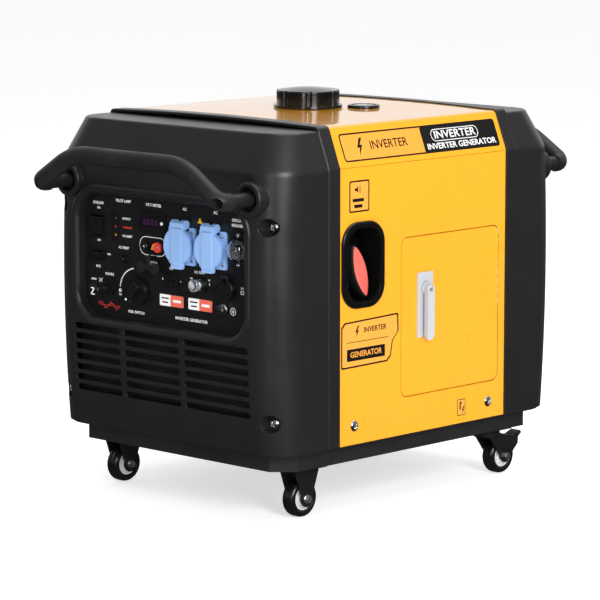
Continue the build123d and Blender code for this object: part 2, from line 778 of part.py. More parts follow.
with BuildPart() as breaker_lever:
    with BuildSketch(side_plane(breaker_at[0] - 3)):
        with BuildLine():
            Polyline((panel_y + 5, breaker_at[1] - 3), (panel_y - 9, breaker_at[1] - 1.8),
                     (panel_y - 9, breaker_at[1] + 1.8), (panel_y + 5, breaker_at[1] + 3), close=True)
        make_face()
    extrude(amount=6)
    fillet(breaker_lever.faces().sort_by(Axis.Y)[0].edges(), 0.8)
    with BuildSketch(side_plane(breaker_at[0] - 6.6)):
        with Locations((lever_axis_y, breaker_at[1])):
            Circle(1.4)
    extrude(amount=13.2)
breaker_lever.part.label = "breaker_lever"
export_step(breaker_lever.part, "parts/breaker_lever.step")

with BuildPart() as ground_nut:
    with BuildSketch(panel_plane(2.0)):
        with Locations(ground_at):
            Circle(7.2)
    extrude(amount=1.6)
    with BuildSketch(panel_plane(3.6)):
        with Locations(ground_at):
            RegularPolygon(6.4, 6)
    extrude(amount=5.0)
    with BuildSketch(panel_plane(9.2)):
        with Locations(ground_at):
            RegularPolygon(5.8, 6, rotation=20)
    extrude(amount=3.4)
    with BuildSketch(panel_plane(8.4)):
        with Locations(ground_at):
            Circle(4.6)
    extrude(amount=1.0)
    with BuildSketch(panel_plane(0)):
        with Locations(ground_at):
            Circle(3.0 + fit)
    extrude(amount=20, mode=Mode.SUBTRACT)
ground_nut.part.label = "ground_nut"
export_step(ground_nut.part, "parts/ground_nut.step")

# ------------------------------------------------------------------ screws
with BuildPart() as screws:
    for x, z in socket_at:
        with BuildSketch(panel_plane(3)):
            with Locations(*[(x + sx * socket_screw_pitch / 2, z + sz * socket_screw_pitch / 2)
                             for sx in (-1, 1) for sz in (-1, 1)]):
                Circle(2.6)
        extrude(amount=1.4)
    with BuildSketch(panel_plane(2.5)):
        with Locations((breaker_at[0], breaker_at[1] + 19.8), (breaker_at[0], breaker_at[1] - 19.8)):
            Circle(2.6)
    extrude(amount=1.4)
    for end in (-1, 1):
        for height in well_heights:
            for side in (-1, 1):
                with BuildSketch(Plane(origin=(side * well_x, end * well_floor, height), z_dir=(0, end, 0))):
                    Circle(well_screw_radius)
                extrude(amount=4.2)
    for side in (-1, 1):
        for y, z in side_screw_at:
            with BuildSketch(Plane(origin=(side * body_half_width, y, z), z_dir=(side, 0, 0))):
                Circle(side_screw_radius)
            extrude(amount=3.2)
screws.part.label = "screws"
export_step(screws.part, "parts/screws.step")

# ------------------------------------------------------------------ carrying handles
def handle_tube():
    """Bent grip tube at the -Y end, bolted through both of its down-turned ends."""
    flat_z = boss_z + handle_rise
    with BuildPart() as tube:
        with BuildLine() as path:
            FilletPolyline(
                (boss_x, -handle_end, boss_z), (boss_x, -handle_reach, boss_z),
                (handle_half_flat, -handle_reach + 1, flat_z), (-handle_half_flat, -handle_reach + 1, flat_z),
                (-boss_x, -handle_reach, boss_z), (-boss_x, -handle_end, boss_z),
                radius=[14, 95, 95, 14])
        with BuildSketch(path.line ^ 0):
            Circle(tube_radius)
        sweep()
        with BuildSketch(end_plane(-handle_end - 8)):
            with Locations((-boss_x, boss_z), (boss_x, boss_z)):
                Circle(7.0)
        extrude(amount=40, mode=Mode.SUBTRACT)
        with BuildSketch(end_plane(-handle_end + 1)):
            with Locations((-boss_x, boss_z), (boss_x, boss_z)):
                Circle(5.2)
        extrude(amount=20, mode=Mode.SUBTRACT)
    return tube.part


front_tube = handle_tube()
with BuildPart() as front_handle:
    add(front_tube)
front_handle.part.label = "front_handle"
export_step(front_handle.part, "parts/front_handle.step")

with BuildPart() as rear_handle:
    add(mirror(front_tube, about=Plane.XZ))
rear_handle.part.label = "rear_handle"
export_step(rear_handle.part, "parts/rear_handle.step")

with BuildPart() as handle_spacers:
    for end in (-1, 1):
        for side in (-1, 1):
            with BuildSketch(Plane(origin=(side * boss_x, end * (boss_face - 12), boss_z),
                                   z_dir=(0, end, 0))):
                Circle(spacer_radius)
            extrude(amount=handle_end - boss_face + 12)
            with BuildSketch(Plane(origin=(side * boss_x, end * 250, boss_z), z_dir=(0, end, 0))):
                Circle(5.0)
            extrude(amount=handle_end + 8 - 250)
            with BuildSketch(Plane(origin=(side * boss_x, end * (handle_end + 8), boss_z),
                                   z_dir=(0, end, 0))):
                Circle(6.6)
                RegularPolygon(3.0, 6, mode=Mode.SUBTRACT)
            extrude(amount=5)
handle_spacers.part.label = "handle_spacers"
export_step(handle_spacers.part, "parts/handle_spacers.step")

# ------------------------------------------------------------------ right side: recoil cup, door and latch
with BuildPart() as recoil_cup:
    with BuildSketch(side_plane(body_half_width)):
        with Locations(cup_at):
            RectangleRounded(*cup_flange, 30)
    extrude(amount=4)
    fillet(recoil_cup.faces().sort_by(Axis.X)[-1].edges(), 3)
    with BuildSketch(side_plane(body_half_width - cup_depth)):
        with Locations(cup_at):
            RectangleRounded(*cup_sleeve, 26)
    extrude(amount=cup_depth)
    with BuildSketch(side_plane(body_half_width - cup_depth + 2)):
        with Locations(cup_at):
            RectangleRounded(*cup_mouth, 24)
    extrude(amount=60, mode=Mode.SUBTRACT)
    with BuildSketch(side_plane(body_half_width - cup_depth - 1)):
        with Locations(grip_at):
            Circle(4.0)
    extrude(amount=10, mode=Mode.SUBTRACT)
recoil_cup.part.label = "recoil_cup"
export_step(recoil_cup.part, "parts/recoil_cup.step")

grip_x = body_half_width - 24
with BuildSketch() as grip_face:
    with BuildLine():
        ThreePointArc((0, -grip_length / 2), (grip_width / 2, 0), (0, grip_length / 2))
        ThreePointArc((0, grip_length / 2), (-grip_width / 2, 0), (0, -grip_length / 2))
    make_face()
    fillet(grip_face.vertices(), 4)
with BuildPart() as recoil_grip:
    with BuildSketch(side_plane(grip_x)):
        with Locations(Location((*grip_at, 0), (0, 0, grip_tilt))):
            add(grip_face.sketch)
    extrude(amount=17)
    fillet(recoil_grip.faces().sort_by(Axis.X)[-1].edges(), 3)
    fillet(recoil_grip.faces().sort_by(Axis.X)[0].edges(), 3)
    with BuildSketch(side_plane(grip_x - 10)):
        with Locations(grip_at):
            Circle(7.0)
    extrude(amount=12)
    with BuildSketch(side_plane(grip_x - 52)):
        with Locations(grip_at):
            Circle(2.5)
    extrude(amount=46)
recoil_grip.part.label = "recoil_grip"
export_step(recoil_grip.part, "parts/recoil_grip.step")

plate_size = (30.6, 88.0)
leaf_width = door_size[0] - door_gap - door_hinge_gap
leaf_mid = (door_mid[0] + (door_gap - door_hinge_gap) / 2, door_mid[1])
with BuildPart() as service_door:
    with BuildSketch(side_plane(body_half_width - steel)):
        with Locations(leaf_mid):
            RectangleRounded(leaf_width, door_size[1] - 2 * door_gap, door_radius - door_gap)
    extrude(amount=steel)
    fillet(service_door.faces().sort_by(Axis.X)[-1].edges(), folded_edge)
    with BuildSketch(side_plane(body_half_width - steel - door_pan_depth)):
        with Locations(door_mid):
            RectangleRounded(door_size[0] - 2 * door_pan_inset, door_size[1] - 2 * door_pan_inset, 6)
            RectangleRounded(door_size[0] - 2 * door_pan_inset - 3,
                             door_size[1] - 2 * door_pan_inset - 3, 4.5, mode=Mode.SUBTRACT)
    extrude(amount=door_pan_depth)
    pan_edge = door_y[1] - door_pan_inset
    for height in door_hinge_heights:
        with BuildSketch(Plane.XY.offset(height - 9)):
            with BuildLine():
                Polyline((212.0, pan_edge - 0.5), (212.0, pan_edge + 2.5), (199.2, pan_edge + 2.5),
                         (199.2, door_hinge[1]), (door_hinge[0], door_hinge[1]),
                         (door_hinge[0], door_hinge[1] + 3.6), (196.2, door_hinge[1] + 3.6),
                         (196.2, pan_edge - 0.5), close=True)
            make_face()
            with Locations(door_hinge):
                Circle(3.8)
                Circle(2.0 + fit, mode=Mode.SUBTRACT)
        extrude(amount=18)
    with BuildSketch(side_plane(body_half_width - 10)):
        with Locations((latch_at[0], latch_axis_z)):
            Circle(5.3)
    extrude(amount=20, mode=Mode.SUBTRACT)
service_door.part.label = "service_door"
export_step(service_door.part, "parts/service_door.step")

with BuildPart() as latch_plate:
    with BuildSketch(side_plane(body_half_width)):
        with Locations(latch_at):
            RectangleRounded(*plate_size, 1)
        with Locations((latch_at[0], latch_axis_z)):
            Circle(9.3, mode=Mode.SUBTRACT)
    extrude(amount=2.2)
    fillet(latch_plate.faces().sort_by(Axis.X)[-1].outer_wire().edges(), 1.0)
latch_plate.part.label = "latch_plate"
export_step(latch_plate.part, "parts/latch_plate.step")

pin_x = 225.2
with BuildPart() as latch_rotor:
    with BuildSketch(side_plane(body_half_width + 0.2)):
        with Locations((latch_at[0], latch_axis_z)):
            Circle(9.0)
    extrude(amount=5.1)
    with BuildSketch(side_plane(200)):
        with Locations((latch_at[0], latch_axis_z)):
            Circle(5.0)
    extrude(amount=body_half_width + 1 - 200)
    with BuildSketch(side_plane(200)):
        with Locations((latch_at[0], latch_axis_z - 19)):
            RectangleRounded(14, 54, 5)
    extrude(amount=3)
    with BuildSketch(side_plane(body_half_width + 5)):
        with Locations((latch_at[0], latch_pin_z)):
            Rectangle(5.4, 5.2)
    extrude(amount=pin_x - body_half_width - 5)
    with BuildSketch(Plane(origin=(0, latch_at[0] - 2.7, 0), x_dir=(1, 0, 0), z_dir=(0, 1, 0))):
        with Locations((pin_x, -latch_pin_z)):
            Circle(2.6)
    extrude(amount=5.4)
    with BuildSketch(Plane(origin=(0, latch_at[0] - 6, 0), x_dir=(1, 0, 0), z_dir=(0, 1, 0))):
        with Locations((pin_x, -latch_pin_z)):
            Circle(1.2 + fit)
    extrude(amount=12, mode=Mode.SUBTRACT)
latch_rotor.part.label = "latch_rotor"
export_step(latch_rotor.part, "parts/latch_rotor.step")

with BuildPart() as latch_handle:
    with BuildSketch(Plane(origin=(0, latch_at[0] - 6.8, 0), x_dir=(1, 0, 0), z_dir=(0, 1, 0))):
        with Locations((pin_x, -latch_pin_z)):
            Circle(3.3)
        with BuildLine():
            Polyline((pin_x - 3.3, -latch_pin_z), (pin_x + 3.3, -latch_pin_z), (pin_x + 3.3, -230),
                     (pin_x + 1.5, -219), (pin_x - 1.5, -219), (pin_x - 3.3, -226), close=True)
        make_face()
    extrude(amount=13.6)
    with BuildSketch(side_plane(body_half_width + 5)):
        with Locations((latch_at[0], latch_pin_z + 1)):
            Rectangle(6.2, 14.0)
    extrude(amount=20, mode=Mode.SUBTRACT)
    with BuildSketch(Plane(origin=(0, latch_at[0] - 6.2, 0), x_dir=(1, 0, 0), z_dir=(0, 1, 0))):
        with Locations((pin_x, -latch_pin_z)):
            Circle(1.2)
    extrude(amount=12.4)
    with BuildSketch(side_plane(body_half_width)):
        with Locations((latch_at[0], (latch_pin_z + 3.3 + 219) / 2)):
            RectangleRounded(13.6, latch_pin_z + 3.3 - 219, 6.6)
    extrude(amount=20, mode=Mode.INTERSECT)
latch_handle.part.label = "latch_handle"
export_step(latch_handle.part, "parts/latch_handle.step")

# ------------------------------------------------------------------ fuel tank, cap and gauge
with BuildPart() as fuel_tank:
    with BuildSketch(Plane.XY.offset(422)) as tank_plan:
        Rectangle(300, 250)
        fillet(tank_plan.vertices(), 30)
    extrude(amount=76)
    fillet(fuel_tank.faces().sort_by(Axis.Z)[-1].edges(), 10)
    with Locations((0, 0, 490)):
        Cylinder(neck_radius, 40, align=(Align.CENTER, Align.CENTER, Align.MIN))
    with BuildSketch(Plane.XY.offset(425)) as tank_space:
        Rectangle(294, 244)
        fillet(tank_space.vertices(), 27)
    extrude(amount=70, mode=Mode.SUBTRACT)
    with Locations((0, 0, 480)):
        Cylinder(neck_radius - 2.5, 60, align=(Align.CENTER, Align.CENTER, Align.MIN), mode=Mode.SUBTRACT)
fuel_tank.part.label = "fuel_tank"
export_step(fuel_tank.part, "parts/fuel_tank.step")

with BuildPart() as cap_seal:
    with Locations((0, 0, 530.3)):
        Cylinder(neck_radius - 0.5, 3, align=(Align.CENTER, Align.CENTER, Align.MIN))
cap_seal.part.label = "cap_seal"
export_step(cap_seal.part, "parts/cap_seal.step")

cap_lobes = 8
dome_base = cap_base + 24.0
dome_half = cap_radius - 6
dome_radius = (dome_half ** 2 + (cap_top - dome_base) ** 2) / (2 * (cap_top - dome_base))
dome_middle = cap_top - dome_radius + (dome_radius ** 2 - dome_half ** 2 / 4) ** 0.5
with BuildPart() as fuel_cap:
    with BuildSketch(Plane.XY.offset(cap_base + 3.2)):
        Circle(cap_radius)
        with PolarLocations(cap_radius + 5.2, cap_lobes):
            Circle(7.2, mode=Mode.SUBTRACT)
    extrude(amount=21)
    fillet(fuel_cap.faces().sort_by(Axis.Z)[-1].edges(), 2.2)
    with BuildSketch(Plane.XY.offset(cap_base)):
        Circle(cap_ring_radius)
    extrude(amount=3.6)
    fillet(fuel_cap.faces().sort_by(Axis.Z)[0].edges(), 1.0)
    with BuildSketch(Plane.XZ):
        with BuildLine():
            Line((0, dome_base), (dome_half, dome_base))
            ThreePointArc((dome_half, dome_base), (dome_half / 2, dome_middle), (0, cap_top))
            Line((0, cap_top), (0, dome_base))
        make_face()
    revolve(axis=Axis.Z)
    with Locations((0, 0, cap_base - 1)):
        Cylinder(neck_radius + 0.8, 534.0 - cap_base + 1, align=(Align.CENTER, Align.CENTER, Align.MIN),
                 mode=Mode.SUBTRACT)
fuel_cap.part.label = "fuel_cap"
export_step(fuel_cap.part, "parts/fuel_cap.step")

with BuildPart() as fuel_gauge:
    with Locations((*gauge_at, 519.0)):
        Cylinder(gauge_radius, 3.8, align=(Align.CENTER, Align.CENTER, Align.MIN))
    fillet(fuel_gauge.faces().sort_by(Axis.Z)[-1].edges(), 1.6)
    with Locations((*gauge_at, 521.0)):
        Cylinder(17.0, 10, align=(Align.CENTER, Align.CENTER, Align.MIN), mode=Mode.SUBTRACT)
    with Locations((*gauge_at, 498.2)):
        Cylinder(17.0, 21.5, align=(Align.CENTER, Align.CENTER, Align.MIN))
fuel_gauge.part.label = "fuel_gauge"
export_step(fuel_gauge.part, "parts/fuel_gauge.step")

# ------------------------------------------------------------------ casters
def wheel_at(x, y):
    """Tyre and hub of one caster wheel, turning about an axle along X."""
    with BuildPart() as wheel:
        with BuildSketch(Plane(origin=(0, y, wheel_radius), x_dir=(1, 0, 0), z_dir=(0, 1, 0))):
            with BuildLine():
                Polyline((x - 8, 4.05), (x + 8, 4.05), (x + 8, 8), (x + 5, 15.5), (x - 5, 15.5), (x - 8, 8),
                         close=True)
            make_face()
        revolve(axis=Axis((0, y, wheel_radius), (1, 0, 0)))
        with BuildSketch(Plane(origin=(0, y, wheel_radius), x_dir=(1, 0, 0), z_dir=(0, 1, 0))):
            with Locations((x, (15.5 + wheel_radius) / 2)):
                Rectangle(wheel_width, wheel_radius - 15.5)
        revolve(axis=Axis((0, y, wheel_radius), (1, 0, 0)), mode=Mode.ADD)
        rims = wheel.edges().filter_by(GeomType.CIRCLE).filter_by(lambda e: e.radius > wheel_radius - 0.5)
        fillet(rims, 5)
    return wheel.part


for name, x, y in (("fl", -caster_x, front_axle_y), ("fr", caster_x, front_axle_y),
                   ("rl", -caster_x, rear_axle_y), ("rr", caster_x, rear_axle_y)):
    with BuildPart() as wheel:
        add(wheel_at(x, y))
    wheel.part.label = f"wheel_{name}"
    export_step(wheel.part, f"parts/wheel_{name}.step")

leg_gap = wheel_width / 2 + 2.2
leg_thickness = 2.6


def fork_legs(x, axle_y, crown_y, crown_z, top_half):
    """Two fork cheeks with the axle bolt and its hexagon heads, for one wheel."""
    with BuildPart() as legs:
        for side in (-1, 1):
            start = x + side * leg_gap - (leg_thickness if side < 0 else 0)
            with BuildSketch(side_plane(start)):
                with BuildLine():
                    Polyline((crown_y - top_half, crown_z), (crown_y + top_half, crown_z),
                             (crown_y + top_half, crown_z - 4), (axle_y + 10, wheel_radius + 4),
                             (axle_y, wheel_radius - 9), (axle_y - 10, wheel_radius + 4),
                             (crown_y - top_half, crown_z - 4), close=True)
                make_face()
                with Locations((axle_y, wheel_radius)):
                    Circle(10.8)
            extrude(amount=leg_thickness)
            head = x + side * (leg_gap + leg_thickness) - (4 if side < 0 else 0)
            with BuildSketch(side_plane(head)):
                with Locations((axle_y, wheel_radius)):
                    RegularPolygon(5.2, 6)
            extrude(amount=4)
        with BuildSketch(side_plane(x - leg_gap)):
            with Locations((axle_y, wheel_radius)):
                Circle(4.0)
        extrude(amount=2 * leg_gap)
    return legs.part


with BuildPart() as caster_mounts:
    for side in (-1, 1):
        x = side * caster_x
        add(fork_legs(x, front_axle_y, front_axle_y, tray_bottom - 3, 21.5))
        with Locations((x, front_axle_y, tray_bottom - 1.5)):
            Box(46, 58, 3)
        with BuildSketch(Plane.XY.offset(tray_bottom)):
            with Locations((x, rear_axle_y - swivel_trail)):
                RectangleRounded(48, 58, 5)
        extrude(amount=-3)
        with BuildSketch(Plane.XY.offset(tray_bottom - 3)):
            with Locations((x, rear_axle_y - swivel_trail)):
                Circle(19)
        extrude(amount=-3.5)
        with BuildSketch(Plane.XY.offset(tray_bottom - 3)):
            with Locations((x, rear_axle_y - swivel_trail)):
                Circle(4.0)
        extrude(amount=-14)
caster_mounts.part.label = "caster_mounts"
export_step(caster_mounts.part, "parts/caster_mounts.step")

pedal_pivot = (22.0, 46.0)
for name, side in (("rl", -1), ("rr", 1)):
    x = side * caster_x
    swivel_y = rear_axle_y - swivel_trail
    with BuildPart() as fork:
        with BuildSketch(Plane.XY.offset(57.0)):
            with Locations((x, swivel_y)):
                Circle(19)
                Circle(4.0 + fit, mode=Mode.SUBTRACT)
        extrude(amount=4.8)
        with BuildSketch(Plane.XY.offset(54.0)):
            with Locations((x, swivel_y + 6)):
                Rectangle(2 * (leg_gap + leg_thickness), 34)
            with Locations((x, swivel_y)):
                Circle(4.0 + fit, mode=Mode.SUBTRACT)
        extrude(amount=3.2)
        for cheek in (-1, 1):
            start = x + cheek * leg_gap - (leg_thickness if cheek < 0 else 0)
            with BuildSketch(side_plane(start)):
                with BuildLine():
                    Polyline((swivel_y - 9, 56), (swivel_y + 23, 56), (rear_axle_y + pedal_pivot[0] - 4, 53),
                             (rear_axle_y + pedal_pivot[0] + 5, pedal_pivot[1] + 3),
                             (rear_axle_y + pedal_pivot[0] + 4, pedal_pivot[1] - 6),
                             (rear_axle_y + 8, wheel_radius - 2), (rear_axle_y, wheel_radius - 8.5),
                             (rear_axle_y - 8, wheel_radius - 2), close=True)
                make_face()
                with Locations((rear_axle_y, wheel_radius)):
                    Circle(9.0)
            extrude(amount=leg_thickness)
            head = x + cheek * (leg_gap + leg_thickness) - (4 if cheek < 0 else 0)
            with BuildSketch(side_plane(head)):
                with Locations((rear_axle_y, wheel_radius)):
                    RegularPolygon(5.2, 6)
            extrude(amount=4)
        with BuildSketch(side_plane(x - leg_gap)):
            with Locations((rear_axle_y, wheel_radius)):
                Circle(4.0)
        extrude(amount=2 * leg_gap)
        with BuildSketch(side_plane(x - leg_gap)):
            with Locations((rear_axle_y + pedal_pivot[0], pedal_pivot[1])):
                Circle(2.0)
        extrude(amount=2 * leg_gap)
    fork.part.label = f"fork_{name}"
    export_step(fork.part, f"parts/fork_{name}.step")

    with BuildPart() as pedal:
        with BuildSketch(side_plane(x - pedal_width / 2)):
            with Locations((rear_axle_y + pedal_pivot[0], pedal_pivot[1])):
                Circle(5.0)
            with BuildLine():
                Polyline((rear_axle_y + pedal_pivot[0] - 3, pedal_pivot[1] + 2),
                         (rear_axle_y + pedal_pivot[0] + 3, pedal_pivot[1] + 5),
                         (rear_axle_y + 39, 56), (rear_axle_y + 41, 52.5),
                         (rear_axle_y + pedal_pivot[0] + 6, pedal_pivot[1] - 3), close=True)
            make_face()
            with Locations((rear_axle_y + pedal_pivot[0], pedal_pivot[1])):
                Circle(2.0 + fit, mode=Mode.SUBTRACT)
        extrude(amount=pedal_width)
    pedal.part.label = f"pedal_{name}"
    export_step(pedal.part, f"parts/pedal_{name}.step")

# ------------------------------------------------------------------ engine and generator
def crank_disc(x, radius, length):
    """Round bar on the crank axis starting at x."""
    with BuildPart() as disc:
        with BuildSketch(side_plane(x)):
            with Locations((crank_y, crank_z)):
                Circle(radius)
        extrude(amount=length)
    return disc.part


lean = 28.0
head_plane = Plane(origin=(-5, crank_y + 18, crank_z + 40), x_dir=(1, 0, 0),
                   z_dir=(0, sin(radians(lean)), cos(radians(lean))))
dip_plane = Plane(origin=(35, crank_y + 67, 182), x_dir=(1, 0, 0),
                  z_dir=(0, cos(radians(40)), sin(radians(40))))
with BuildPart() as engine_block:
    with BuildSketch(side_plane(-70)):
        with Locations((crank_y, crank_z - 12)):
            RectangleRounded(136, 140, 24)
        with Locations((crank_y, 106)):
            Rectangle(150, 13)
        with Locations((crank_y, 135)):
            Rectangle(112, 60)
    extrude(amount=130)
    add(crank_disc(-64, 48, 112), mode=Mode.SUBTRACT)
    add(crank_disc(-75, 12 + fit, 150), mode=Mode.SUBTRACT)
    with BuildSketch(head_plane):
        Circle(30 + clear)
    extrude(amount=60, mode=Mode.SUBTRACT)
    with BuildSketch(dip_plane.offset(-4)):
        Circle(11)
    extrude(amount=22)
    with BuildSketch(dip_plane.offset(-60)):
        Circle(4)
    extrude(amount=90, mode=Mode.SUBTRACT)
engine_block.part.label = "engine_block"
export_step(engine_block.part, "parts/engine_block.step")

with BuildPart() as cylinder_head:
    with BuildSketch(head_plane.offset(18)):
        Circle(30)
    extrude(amount=96)
    for fin in range(9):
        with BuildSketch(head_plane.offset(34 + fin * 9)):
            RectangleRounded(92, 88, 10)
        extrude(amount=3)
    with BuildSketch(head_plane.offset(114)):
        RectangleRounded(70, 66, 10)
    extrude(amount=10)
cylinder_head.part.label = "cylinder_head"
export_step(cylinder_head.part, "parts/cylinder_head.step")

with BuildPart() as crankshaft:
    add(crank_disc(-68, 12, 45))
    add(crank_disc(-24, 30, 12))
    add(crank_disc(2, 30, 12))
    with BuildSketch(side_plane(-13)):
        with Locations((crank_y, crank_z + 18)):
            Circle(9)
    extrude(amount=16)
    add(crank_disc(13, 12, 118))
    add(crank_disc(68, 74, 38))
    add(crank_disc(67, 64, 32), mode=Mode.SUBTRACT)
    add(crank_disc(60, 12, 45))
crankshaft.part.label = "crankshaft"
export_step(crankshaft.part, "parts/crankshaft.step")

with BuildPart() as stator:
    add(crank_disc(60, 60, 35))
    add(crank_disc(59, 15, 40), mode=Mode.SUBTRACT)
    with BuildSketch(side_plane(68)):
        with Locations((crank_y, crank_z)):
            with PolarLocations(48, 18):
                RectangleRounded(6, 6, 1)
    extrude(amount=40, mode=Mode.SUBTRACT)
stator.part.label = "stator"
export_step(stator.part, "parts/stator.step")

with BuildPart() as cooling_fan:
    add(crank_disc(107, 78, 3))
    add(crank_disc(109, 22, 15))
    with BuildSketch(side_plane(109)):
        with Locations((crank_y, crank_z)):
            with PolarLocations(52, 12):
                Rectangle(46, 3, rotation=22)
    extrude(amount=16)
    add(crank_disc(100, 12 + fit, 40), mode=Mode.SUBTRACT)
cooling_fan.part.label = "cooling_fan"
export_step(cooling_fan.part, "parts/cooling_fan.step")

pulley_x = 138.0
with BuildPart() as fan_shroud:
    add(crank_disc(64, 86, 98))
    add(crank_disc(63, 83, 95.5), mode=Mode.SUBTRACT)
    with BuildSketch(side_plane(155)):
        with Locations((crank_y, crank_z)):
            with PolarLocations(62, 16):
                SlotOverall(34, 6)
    extrude(amount=12, mode=Mode.SUBTRACT)
    add(crank_disc(134, 8, 26))
fan_shroud.part.label = "fan_shroud"
export_step(fan_shroud.part, "parts/fan_shroud.step")

with BuildPart() as starter_pulley:
    add(crank_disc(pulley_x, 44, 3))
    add(crank_disc(pulley_x + 3, 38, 8))
    add(crank_disc(pulley_x + 11, 44, 3))
    add(crank_disc(pulley_x - 1, 8 + fit, 20), mode=Mode.SUBTRACT)
starter_pulley.part.label = "starter_pulley"
export_step(starter_pulley.part, "parts/starter_pulley.step")

with BuildPart() as muffler:
    with BuildSketch(side_plane(-125)):
        with Locations((205, 290)):
            RectangleRounded(70, 110, 22)
    extrude(amount=190)
    with BuildSketch(Plane.XY.offset(177)):
        with Locations((exhaust_at[0], 190)):
            RectangleRounded(30, 36, 6)
    extrude(amount=70)
    with BuildSketch(Plane(origin=(exhaust_at[0], 190, exhaust_at[1]), z_dir=(0, 1, 0))):
        Circle(13)
    extrude(amount=106)
    with BuildSketch(side_plane(-123)):
        with Locations((205, 290)):
            RectangleRounded(66, 106, 20)
    extrude(amount=186, mode=Mode.SUBTRACT)
    with BuildSketch(Plane(origin=(exhaust_at[0], 298, exhaust_at[1]), z_dir=(0, -1, 0))):
        Circle(10.5)
    extrude(amount=60, mode=Mode.SUBTRACT)
muffler.part.label = "muffler"
export_step(muffler.part, "parts/muffler.step")

with BuildPart() as air_cleaner:
    with Locations((140, 85, 300)):
        Box(56, 100, 100)
    fillet(air_cleaner.edges().filter_by(Axis.X), 12)
    with Locations((171, 85, 300)):
        Box(6, 92, 92)
air_cleaner.part.label = "air_cleaner"
export_step(air_cleaner.part, "parts/air_cleaner.step")

with BuildPart() as carburettor:
    with Locations((92, 85, 300)):
        Box(36, 44, 44)
    with Locations((92, 85, 264)):
        Cylinder(18, 28)
    with BuildSketch(side_plane(60)):
        with Locations((85, 300)):
            Circle(14)
    extrude(amount=52)
carburettor.part.label = "carburettor"
export_step(carburettor.part, "parts/carburettor.step")

with BuildPart() as inverter_module:
    with Locations((0, -228, 170)):
        Box(230, 40, 96)
    with BuildSketch(Plane.XY.offset(124)):
        with GridLocations(9, 0, 24, 1):
            with Locations((0, -255)):
                Rectangle(2.4, 16)
    extrude(amount=92)
inverter_module.part.label = "inverter_module"
export_step(inverter_module.part, "parts/inverter_module.step")

with BuildPart() as oil_dipstick:
    with BuildSketch(dip_plane.offset(18.4)):
        Circle(13)
        with PolarLocations(14.5, 6):
            Circle(3.2, mode=Mode.SUBTRACT)
    extrude(amount=10)
    with BuildSketch(dip_plane.offset(-30)):
        Circle(2.2)
    extrude(amount=50)
oil_dipstick.part.label = "oil_dipstick"
export_step(oil_dipstick.part, "parts/oil_dipstick.step")
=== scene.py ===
"""Looks of the inverter generator: finishes, small parts, printed legends, light and camera.

Lengths are in millimetres until they reach a mesh, where MM turns them into metres. Flat work is
drawn on a board: a matrix whose x runs right, y runs up and z stands out of the surface.
"""

import math

import bmesh
import bpy
from mathutils import Matrix, Vector


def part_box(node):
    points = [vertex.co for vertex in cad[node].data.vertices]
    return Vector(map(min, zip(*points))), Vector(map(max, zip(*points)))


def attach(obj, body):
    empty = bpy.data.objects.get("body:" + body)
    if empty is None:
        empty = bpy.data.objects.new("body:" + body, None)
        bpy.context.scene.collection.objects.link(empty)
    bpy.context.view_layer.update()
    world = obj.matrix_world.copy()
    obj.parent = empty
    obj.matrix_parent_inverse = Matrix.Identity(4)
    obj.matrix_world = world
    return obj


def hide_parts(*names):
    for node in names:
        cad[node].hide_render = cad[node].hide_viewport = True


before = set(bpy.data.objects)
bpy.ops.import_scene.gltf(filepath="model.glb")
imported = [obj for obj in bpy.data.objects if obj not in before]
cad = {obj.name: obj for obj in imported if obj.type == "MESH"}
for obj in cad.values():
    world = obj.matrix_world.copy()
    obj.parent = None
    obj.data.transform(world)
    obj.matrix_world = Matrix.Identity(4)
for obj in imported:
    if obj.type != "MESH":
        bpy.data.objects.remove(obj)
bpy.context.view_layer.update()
MM = 0.001
MAP_LIMITS = ("From Min", "From Max", "To Min", "To Max")


def corners(node):
    """(lowest corner, highest corner) of a CAD node, in millimetres."""
    low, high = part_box(node)
    return Vector(low) / MM, Vector(high) / MM


def middle(node):
    """Middle of a CAD node's box, in millimetres."""
    low, high = corners(node)
    return (low + high) / 2


def linear(red, green, blue):
    """Screen colour from 0 to 255 as linear light."""
    shares = (red / 255, green / 255, blue / 255)
    return tuple(s / 12.92 if s < 0.0405 else ((s + 0.055) / 1.055) ** 2.4 for s in shares)


